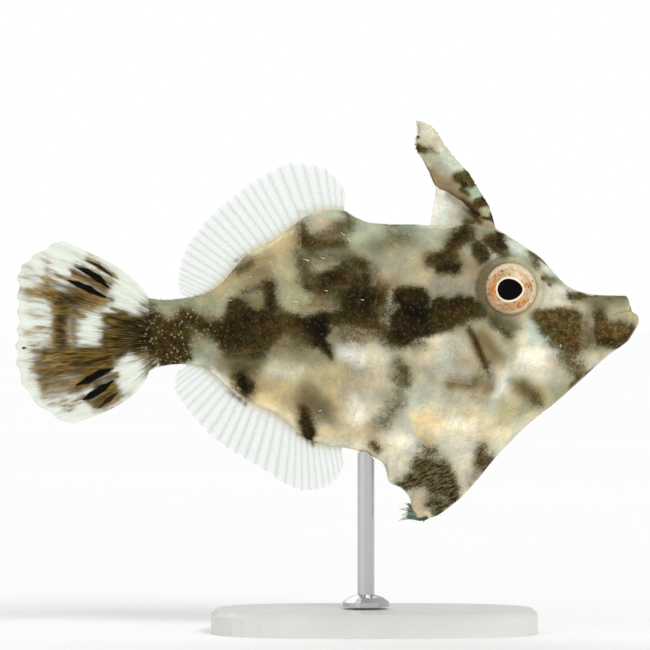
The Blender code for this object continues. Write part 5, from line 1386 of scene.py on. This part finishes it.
def build_pectorals(settings):
    """The two small clear fans behind the gill slits."""
    clear = fin_finish("pectoral_clear", settings, settings.clear_cover * 0.1, 0.1, 0.06)
    grid = plain_skin()
    surface = surface_of(grid.reshape(-1, 3), loft_faces(*grid.shape[:2]))
    at_root, near_root, by_tip = PECTORAL_LIFT

    def half(crest, out):
        return 0.16 + 0.08 * crest * (1 - 0.5 * out) - 0.05 * out

    for side, name in ((-1, "right"), (1, "left")):
        def sheet(_along, out, spot):
            flank = float(surface(spot.x, spot.y)[0])
            return side * (flank + at_root + near_root * min(out / 0.2, 1) + by_tip * out)

        rayed_fin(f"pectoral_{name}", PECTORAL_RAYS, PECTORAL_RAY_COUNT, sheet, half, single_crest, clear,
                  f"pectoral_fin_{name}", rows=PECTORAL_ROWS)


def tail_finish(settings):
    """The tail fin: streaky brown stains and black spots on a pale membrane that lets light through."""
    finish, wire, shader = new_finish("filefish_tail")
    crest = wire.value("ray")
    broad = wire.noise(1.0, 2, 0.6, wire.colour("fan"))
    fine = wire.noise(1.0, 2, 0.6, wire.colour("fan_fine"))
    swing = wire.minus(wire.plus(wire.times(broad, 2.4), wire.times(fine, 1.5)), 1.95)
    field = wire.value("field")
    stain = wire.plus(field, wire.times(swing, wire.step(field, 1.0, 0.3, 0.25, 0.8)))
    stain = wire.step(stain, 0.02, 0.92)
    clear = wire.scaled(wire.colour("tone"), wire.step(fine, 0.3, 0.7, 1.2, 1.36))
    brown = wire.uneven(wire.colour("mark"), 0.34, 0.66, (broad, 0.4, 1.3), (fine, 0.55, 1.5))
    bleached = wire.times(wire.step(fine, 0.5, 0.66), wire.step(stain, 1.0, 0.6, 0.2, 0.8))
    brown = wire.blend(bleached, brown, shown(BLEACHED_TONE))
    dots = wire.times(wire.step(wire.cells(DOT_CELLS), *DOT_EDGE), wire.value("dotted"))
    brown = wire.blend(dots, brown, DOT_COLOUR)
    spots = wire.step(wire.plus(wire.value("spots"), wire.times(swing, 0.2)), 0.2, 0.8)
    solid = wire.most(spots, wire.times(stain, wire.value("body_cover")))
    rays = wire.plus(wire.times(crest, settings.clear_cover * 0.5), settings.clear_cover)
    wire.feed(shader, {
        "Base Color": wire.blend(spots, wire.blend(stain, clear, brown), wire.colour("spot")),
        "Alpha": wire.math("MAXIMUM", solid, rays, clamp=True),
        "Roughness": wire.step(crest, 0.0, 1.0, 0.45, 0.6),
        "Normal": wire.bump(fine, 0.15),
        "Specular IOR Level": 0.05,
    })
    return finish


def build_tail_fin(settings):
    """The tail fin, with branched rays and its own markings."""
    def half(crest, out):
        return 0.3 - 0.16 * out + (0.3 - 0.22 * out) * crest

    mesh, points, outs = rayed_fin("tail_fan", CAUDAL_RAYS, CAUDAL_RAY_COUNT, wave(*TAIL_WAVE), half,
                                   branched_crest, tail_finish(settings), "caudal_fin",
                                   columns=TAIL_COLUMNS, rows=TAIL_ROWS, notch=TAIL_NOTCH, bow=TAIL_BOW)
    dress(mesh, points, (), TAIL_STAINS, "ice", "amber", warp=3.0, dotted=ease(-24.8, -22.8, points[:, 0]),
          edge_width=2.0)
    spot, spots = paint_marks(points, (), TAIL_SPOTS, "ice", "pitch", 1.2, 1.3)[1:]
    store(mesh, "spot", spot)
    store(mesh, "spots", spots)
    across = np.repeat(np.linspace(0, 1, TAIL_COLUMNS * CAUDAL_RAY_COUNT + 1), TAIL_ROWS * 2)
    fan = np.column_stack([across, outs, np.zeros(len(points))])
    store(mesh, "fan", fan * (34, 4, 0))
    store(mesh, "fan_fine", fan * (110, 9, 0) + (3, 7, 0))
    store(mesh, "body_cover", 1.0 - 0.25 * ease(0.8, 1.0, outs))


def cone(root, tip, rings, sides):
    """Points of a thin cone; each ring has its share of the way to the tip, its radius and its rise."""
    along = (tip - root).normalized()
    across = along.orthogonal().normalized()
    other = along.cross(across)
    points = []
    for share, radius, rise in rings:
        middle = root.lerp(tip, share) + Vector((0, 0, rise))
        for turn in turns(sides):
            points.append(tuple(middle + (across * math.cos(turn) + other * math.sin(turn)) * radius))
    return points


def build_spine(settings):
    """The stout first spine with its barbs."""
    table = smooth_rows(SPINE_RIBS)
    points = []
    for place in np.linspace(0, len(SPINE_RIBS) - 1, SPINE_RINGS):
        front_x, front_z, rear_x, rear_z, half = table(place)
        for turn in turns(SPINE_SIDES):
            share = (1 - math.cos(turn)) / 2
            across = half * math.sin(turn) * (1.15 - 0.6 * share)
            x, height = front_x + (rear_x - front_x) * share, front_z + (rear_z - front_z) * share
            points.append((x, across, height))
    points = np.array(points)
    faces = loft_faces(SPINE_RINGS, SPINE_SIDES)
    ripple = (grain(points, 0.9, 41) - 0.5) * 0.16 + (grain(points, 0.4, 43) - 0.5) * 0.08
    points += skin_normals(points, faces) * (ripple - 0.03)[:, None]
    points = points.tolist()
    draw = random.Random(7)
    for count, first, last, length, ahead, offsets in BARB_ROWS:
        for place in np.linspace(first, last, count):
            for y in offsets:
                front_x, front_z, rear_x, rear_z, half = table(place + draw.uniform(-0.15, 0.15))
                x, z = (front_x, front_z) if ahead > 0 else (rear_x, rear_z)
                reach = length * draw.uniform(0.7, 1.2)
                root = Vector((x - ahead * 0.35, y * half, z))
                tip = Vector((x + ahead * reach, 1.6 * y, z - 0.5 * reach))
                faces += loft_faces(len(BARB_RINGS), BARB_SIDES, len(points))
                points += cone(root, tip, BARB_RINGS, BARB_SIDES)
    points = np.array(points)
    spine = add_piece("first_spine", points, faces, skin_finish(settings), ("dorsal_spine",))
    dress(spine.data, points, SPINE_MARKS, SPINE_DARK_MARKS, warp=4.0, dotted=0.2)


def marked_finish(name, scale, roughness, bump):
    """A finish with pale and dark marks of its own, and a fine grain; thin where little is stored."""
    finish, wire, shader = new_finish(name)
    cloud = wire.noise(scale, 3, 0.6)
    fine = wire.noise(scale * 4, 3, 0.6)
    shift = wire.times(wire.minus(fine, 0.5), 0.8)
    cover = wire.step(wire.plus(wire.value("field"), shift), 0.1, 0.8)
    pale = wire.scaled(wire.colour("tone"), wire.step(cloud, 0.3, 0.7, 1.02, 1.2))
    colour = wire.blend(cover, pale, wire.colour("mark"))
    wire.feed(shader, {
        "Base Color": wire.scaled(colour, wire.step(fine, 0.3, 0.7, 0.88, 1.12)),
        "Alpha": wire.most(wire.value("solid"), cover),
        "Roughness": wire.step(cloud, 0.2, 0.8, roughness * 0.85, roughness * 1.15),
        "Normal": wire.bump(fine, bump),
        "Specular IOR Level": 0.2,
    })
    return finish


def build_membrane():
    """The web between the spine and the back."""
    table = smooth_rows(MEMBRANE_RAYS)
    points, solid = [], []
    for a in range(WEB_COLUMNS):
        along = a / (WEB_COLUMNS - 1)
        foot_x, foot_z, tip_x, tip_z = table(along * (len(MEMBRANE_RAYS) - 1))
        for r in range(WEB_ROWS):
            share = r / (WEB_ROWS - 1)
            height = foot_z - FIN_SUNK + (tip_z - foot_z + FIN_SUNK) * share
            x = foot_x + (tip_x - foot_x) * share
            fold = 0.5 + 0.5 * math.cos(along * 2 * math.pi * WEB_FOLDS + share)
            half = MEMBRANE_HALF_THICKNESS * (0.55 + 0.4 * fold) * (1 - 0.3 * share)
            points += [(x, -half, height), (x, half, height)]
            solid += [0.6 + 0.4 * ease(0.2, 0.8, max(share ** 3, along ** 1.5))] * 2
    finish = marked_finish("spine_web", 800, 0.45, 0.3)
    faces = plate_faces(WEB_COLUMNS, WEB_ROWS)
    web = add_piece("spine_web", points, faces, finish, ("spine_membrane",)).data
    dress(web, np.array(points), WEB_MARKS, WEB_DARK_MARKS, "ice", "umber", warp=3.0)
    store(web, "solid", solid)


def build_scute():
    """The bony tip of the pelvis, a ridged lump with its spikes."""
    size_x, size_y, size_z = SCUTE_HALF_SIZE
    points = []
    for turn in np.linspace(0.1, math.pi - 0.1, SCUTE_RINGS):
        x = SCUTE_CENTRE[0] - size_x * math.cos(turn)
        for a in turns(SCUTE_SIDES):
            ridge = 1 - 0.06 * abs(math.sin(4 * a + 2.0 * turn))
            y = size_y * math.sin(turn) * math.cos(a) * ridge
            points.append((x, y, SCUTE_CENTRE[1] + size_z * math.sin(turn) * math.sin(a) * ridge))
    faces = loft_faces(SCUTE_RINGS, SCUTE_SIDES)
    rings = [
        (share, 0.4 * (1 - share) ** 0.8 + 0.012, 0.18 * math.sin(share * math.pi))
        for share in np.linspace(0, 1, SPIKE_RINGS)
    ]
    for x1, z1, x2, z2, y in SCUTE_SPIKES:
        faces += loft_faces(SPIKE_RINGS, SPIKE_SIDES, len(points))
        points += cone(Vector((x1, 0.4 * y, z1)), Vector((x2, y, z2)), rings, SPIKE_SIDES)
    points = np.array(points)
    finish = marked_finish("scute_bone", 900, 0.38, 0.2)
    scute = add_piece("scute", points, faces, finish, ("pelvic_scute",)).data
    dress(scute, points, SCUTE_MARKS, SCUTE_DARK_MARKS, "pearl", "slate", warp=2.0)
    store(scute, "solid", np.ones(len(points)))


def dress_stand(settings):
    """Satin paint on the base and brushed steel on the rod, which stay the solids' own shapes."""
    finish, wire, shader = new_finish("stand_base_paint")
    cloud = wire.noise(160, 4, 0.55)
    fine = wire.noise(2400, 3, 0.6)
    # The base's colour turns lighter towards its sharp edges.
    edge = wire.add("ShaderNodeNewGeometry").outputs["Pointiness"]
    duller = rgba([part * 0.93 for part in settings.base_colour])
    colour = wire.blend(wire.step(cloud, 0.3, 0.7), rgba(settings.base_colour), duller)
    wire.feed(shader, {
        "Base Color": wire.blend(wire.step(edge, 0.52, 0.6, 0.0, 0.4), colour, (0.95, 0.95, 0.94, 1)),
        "Roughness": wire.step(fine, 0.2, 0.8, 0.3, 0.42),
        "Normal": wire.bump(fine, 0.06),
    })
    put(bpy.data.objects["stand_base"], finish)
    finish, wire, shader = new_finish("stand_rod_steel")
    stretch = wire.add("ShaderNodeMapping", {"Vector": wire.place(), "Scale": (1.0, 1.0, 0.02)}).outputs[0]
    lines = wire.noise(9000, 3, 0.6, stretch)
    duller = rgba([part * 0.85 for part in settings.rod_colour])
    wire.feed(shader, {
        "Base Color": wire.blend(lines, duller, rgba(settings.rod_colour)),
        "Metallic": 1.0,
        "Roughness": wire.step(lines, 0.2, 0.8, 0.22, 0.36),
        "Normal": wire.bump(lines, 0.05),
    })
    put(bpy.data.objects["stand_rod"], finish)


def put(obj, finish):
    """Gives a solid a new material in place of its plain one."""
    if not obj.material_slots:
        obj.data.materials.append(finish)
    for slot in obj.material_slots:
        slot.material = finish


def build_stage(settings):
    """The pale floor, the soft light and the camera at the fish's right side."""
    finish, wire, shader = new_finish("stage_floor")
    wire.feed(shader, {
        "Base Color": wire.blend(wire.noise(3, 2, 0.5), (0.93, 0.93, 0.93, 1), (0.96, 0.96, 0.96, 1)),
        "Roughness": 0.9,
        "Specular IOR Level": 0.1,
    })
    mesh = bpy.data.meshes.new("stage_floor")
    radius = settings.floor_radius
    angles = np.linspace(0, 2 * math.pi, FLOOR_SIDES, endpoint=False)
    rim = [(radius * math.cos(angle), radius * math.sin(angle), 0) for angle in angles]
    mesh.from_pydata(rim, [], [tuple(range(FLOOR_SIDES))])
    mesh.materials.append(finish)
    scene = bpy.context.scene
    floor = bpy.data.objects.new("stage_floor", mesh)
    scene.collection.objects.link(floor)
    floor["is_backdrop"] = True
    world = bpy.data.worlds.new("studio")
    world.use_nodes = True
    wire = Wiring(world.node_tree)
    seen = wire.add("ShaderNodeLightPath").outputs["Is Camera Ray"]
    level = wire.step(seen, 0.0, 1.0, settings.room_light, 1.0)
    wire.feed(world.node_tree.nodes["Background"], {"Color": (1, 1, 1, 1), "Strength": level})
    scene.world = world
    for name, spot, spread, share in LAMPS:
        lamp = bpy.data.lights.new(name, "SUN")
        lamp.angle = math.radians(spread)
        lamp.energy = settings.key_light * share
        obj = bpy.data.objects.new(name, lamp)
        obj.location = spot
        obj.rotation_euler = (-Vector(spot)).to_track_quat("-Z", "Y").to_euler()
        scene.collection.objects.link(obj)
    camera = bpy.data.cameras.new("camera")
    camera.sensor_width = SENSOR_WIDTH
    camera.lens = SENSOR_WIDTH * settings.camera_distance / settings.frame_width
    camera.clip_start = 0.01
    eye = bpy.data.objects.new("camera", camera)
    eye.location = (settings.camera_x, -settings.camera_distance, settings.camera_height)
    eye.rotation_euler = (math.pi / 2, 0, 0)
    scene.collection.objects.link(eye)
    scene.camera = eye
    scene.view_settings.view_transform = "Standard"
    scene.view_settings.look = "None"


def colour_property(name, description, colour):
    """A colour setting whose default is a display colour."""
    return FloatVectorProperty(
        name=name, description=description, subtype="COLOR", size=3, min=0, max=1,
        default=tuple(float(part) for part in linear(colour)),
    )


class FilefishSkinSettings(bpy.types.PropertyGroup):
    stipple: FloatProperty(name="Stipple", description="How ragged the blotches' edges are", default=0.65)
    dots: FloatProperty(name="Dots", description="Strength of the pale dots on dark skin", default=0.8)
    speckle: FloatProperty(name="Speckle", description="Strength of dark specks on pale skin", default=0.25)
    relief: FloatProperty(name="Relief", description="Scale of the folds, rims and creases", default=1.0)
    bristle_density: FloatProperty(
        name="Bristle density", description="Bristles to a square millimetre at full density", default=6.0)
    bristle_length: FloatProperty(
        name="Bristle length", description="Length of a bristle before it is varied",
        default=0.00022, unit="LENGTH", precision=5)


class FilefishFinSettings(bpy.types.PropertyGroup):
    membrane: colour_property("Membrane", "Colour of the clear fins' skin", (236, 242, 238))
    ray: colour_property("Rays", "Colour of the clear fins' rays", (214, 220, 214))
    clear_cover: FloatProperty(
        name="Cover", description="How much the clear fins hide", default=0.38, min=0, max=1)


class FilefishEyeSettings(bpy.types.PropertyGroup):
    iris_pale: colour_property("Pale iris", "The iris' cream", (216, 194, 156))
    iris_warm: colour_property("Warm iris", "The iris' orange", (202, 130, 50))
    iris_deep: colour_property("Deep iris", "The iris' brown specks", (104, 72, 40))


class FilefishStandSettings(bpy.types.PropertyGroup):
    base_colour: colour_property("Base", "Colour of the stand's base", (206, 206, 202))
    rod_colour: colour_property("Rod", "Colour of the stand's rod", (205, 206, 208))


class FilefishStageSettings(bpy.types.PropertyGroup):
    floor_radius: FloatProperty(
        name="Floor radius", description="Size of the floor", default=30.0, unit="LENGTH")
    room_light: FloatProperty(name="Room light", description="Brightness of the white room", default=0.6)
    key_light: FloatProperty(name="Key light", description="Strength of the main lamp", default=1.3)
    camera_distance: FloatProperty(
        name="Camera distance", description="From the middle plane to the camera", default=0.6,
        unit="LENGTH")
    frame_width: FloatProperty(
        name="Frame width", description="Width of the picture at the fish", default=0.0836, unit="LENGTH",
        precision=5)
    camera_x: FloatProperty(
        name="Camera x", description="Along the fish", default=-0.00036, unit="LENGTH", precision=5)
    camera_height: FloatProperty(
        name="Camera height", description="Above the floor", default=0.0395, unit="LENGTH", precision=5)


class FILEFISH_OT_stage(bpy.types.Operator):
    """Makes the floor, the lamps and the camera"""
    bl_idname = "filefish.stage"
    bl_label = "Stage"

    def execute(self, context):
        build_stage(context.scene.filefish_stage)
        return {"FINISHED"}


class FILEFISH_OT_skin(bpy.types.Operator):
    """Makes the skin over head, body, tail stem and flap, with its markings"""
    bl_idname = "filefish.skin"
    bl_label = "Skin"

    def execute(self, context):
        build_skin(context.scene.filefish_skin)
        return {"FINISHED"}


class FILEFISH_OT_bristles(bpy.types.Operator):
    """Sets the short bristles on the skin"""
    bl_idname = "filefish.bristles"
    bl_label = "Bristles"

    def execute(self, context):
        build_bristles(context.scene.filefish_skin)
        return {"FINISHED"}


class FILEFISH_OT_tassels(bpy.types.Operator):
    """Lays the pale skin tassels on the flanks"""
    bl_idname = "filefish.tassels"
    bl_label = "Tassels"

    def execute(self, context):
        build_tassels()
        return {"FINISHED"}


class FILEFISH_OT_eyes(bpy.types.Operator):
    """Makes both eyeballs"""
    bl_idname = "filefish.eyes"
    bl_label = "Eyes"

    def execute(self, context):
        for side, name in ((-1, "right"), (1, "left")):
            build_eye(side, name, context.scene.filefish_eye)
        return {"FINISHED"}


class FILEFISH_OT_clear_fins(bpy.types.Operator):
    """Makes the soft dorsal, anal and pectoral fins"""
    bl_idname = "filefish.clear_fins"
    bl_label = "Clear fins"

    def execute(self, context):
        build_median_fins(context.scene.filefish_fin)
        build_pectorals(context.scene.filefish_fin)
        return {"FINISHED"}


class FILEFISH_OT_tail_fin(bpy.types.Operator):
    """Makes the tail fin"""
    bl_idname = "filefish.tail_fin"
    bl_label = "Tail fin"

    def execute(self, context):
        build_tail_fin(context.scene.filefish_fin)
        return {"FINISHED"}


class FILEFISH_OT_spine(bpy.types.Operator):
    """Makes the first dorsal spine and the web behind it"""
    bl_idname = "filefish.spine"
    bl_label = "Spine"

    def execute(self, context):
        build_spine(context.scene.filefish_skin)
        build_membrane()
        return {"FINISHED"}


class FILEFISH_OT_scute(bpy.types.Operator):
    """Makes the bony scute below the flap"""
    bl_idname = "filefish.scute"
    bl_label = "Scute"

    def execute(self, context):
        build_scute()
        return {"FINISHED"}


class FILEFISH_OT_stand(bpy.types.Operator):
    """Finishes the stand's base and rod"""
    bl_idname = "filefish.stand"
    bl_label = "Stand"

    def execute(self, context):
        dress_stand(context.scene.filefish_stand)
        return {"FINISHED"}


STEPS = (
    FILEFISH_OT_stage, FILEFISH_OT_skin, FILEFISH_OT_bristles, FILEFISH_OT_tassels, FILEFISH_OT_eyes,
    FILEFISH_OT_clear_fins, FILEFISH_OT_tail_fin, FILEFISH_OT_spine, FILEFISH_OT_scute, FILEFISH_OT_stand,
)
SETTINGS = {
    "filefish_skin": FilefishSkinSettings, "filefish_fin": FilefishFinSettings,
    "filefish_eye": FilefishEyeSettings, "filefish_stand": FilefishStandSettings,
    "filefish_stage": FilefishStageSettings,
}


class FILEFISH_PT_panel(bpy.types.Panel):
    """Lists the filefish's steps in the sidebar"""
    bl_label = "Filefish"
    bl_idname = "FILEFISH_PT_panel"
    bl_space_type = "VIEW_3D"
    bl_region_type = "UI"
    bl_category = "Filefish"

    def draw(self, context):
        for name, group in SETTINGS.items():
            box = self.layout.box()
            for prop in group.__annotations__:
                box.prop(getattr(context.scene, name), prop)
        for step in STEPS:
            self.layout.operator(step.bl_idname)


def register():
    """Adds the settings, the steps and the panel to Blender."""
    for cls in (*SETTINGS.values(), *STEPS, FILEFISH_PT_panel):
        bpy.utils.register_class(cls)
    for name, group in SETTINGS.items():
        setattr(bpy.types.Scene, name, PointerProperty(type=group))


def unregister():
    """Takes them out again."""
    for name in SETTINGS:
        delattr(bpy.types.Scene, name)
    for cls in reversed((*SETTINGS.values(), *STEPS, FILEFISH_PT_panel)):
        bpy.utils.unregister_class(cls)


def corners(bounds):
    """The two corners of a box, rounded to a thousandth of a millimetre."""
    return [[round(float(part), 6) for part in corner] for corner in bounds]


def main():
    """Runs every step."""
    solid_box = corners(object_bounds())
    register()
    bpy.ops.filefish.stage()
    bpy.ops.filefish.skin()
    bpy.ops.filefish.bristles()
    bpy.ops.filefish.tassels()
    bpy.ops.filefish.eyes()
    bpy.ops.filefish.clear_fins()
    bpy.ops.filefish.tail_fin()
    bpy.ops.filefish.spine()
    bpy.ops.filefish.scute()
    bpy.ops.filefish.stand()
    {"cad": solid_box, "visual": corners(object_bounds())}


if __name__ == "__main__":
    main()
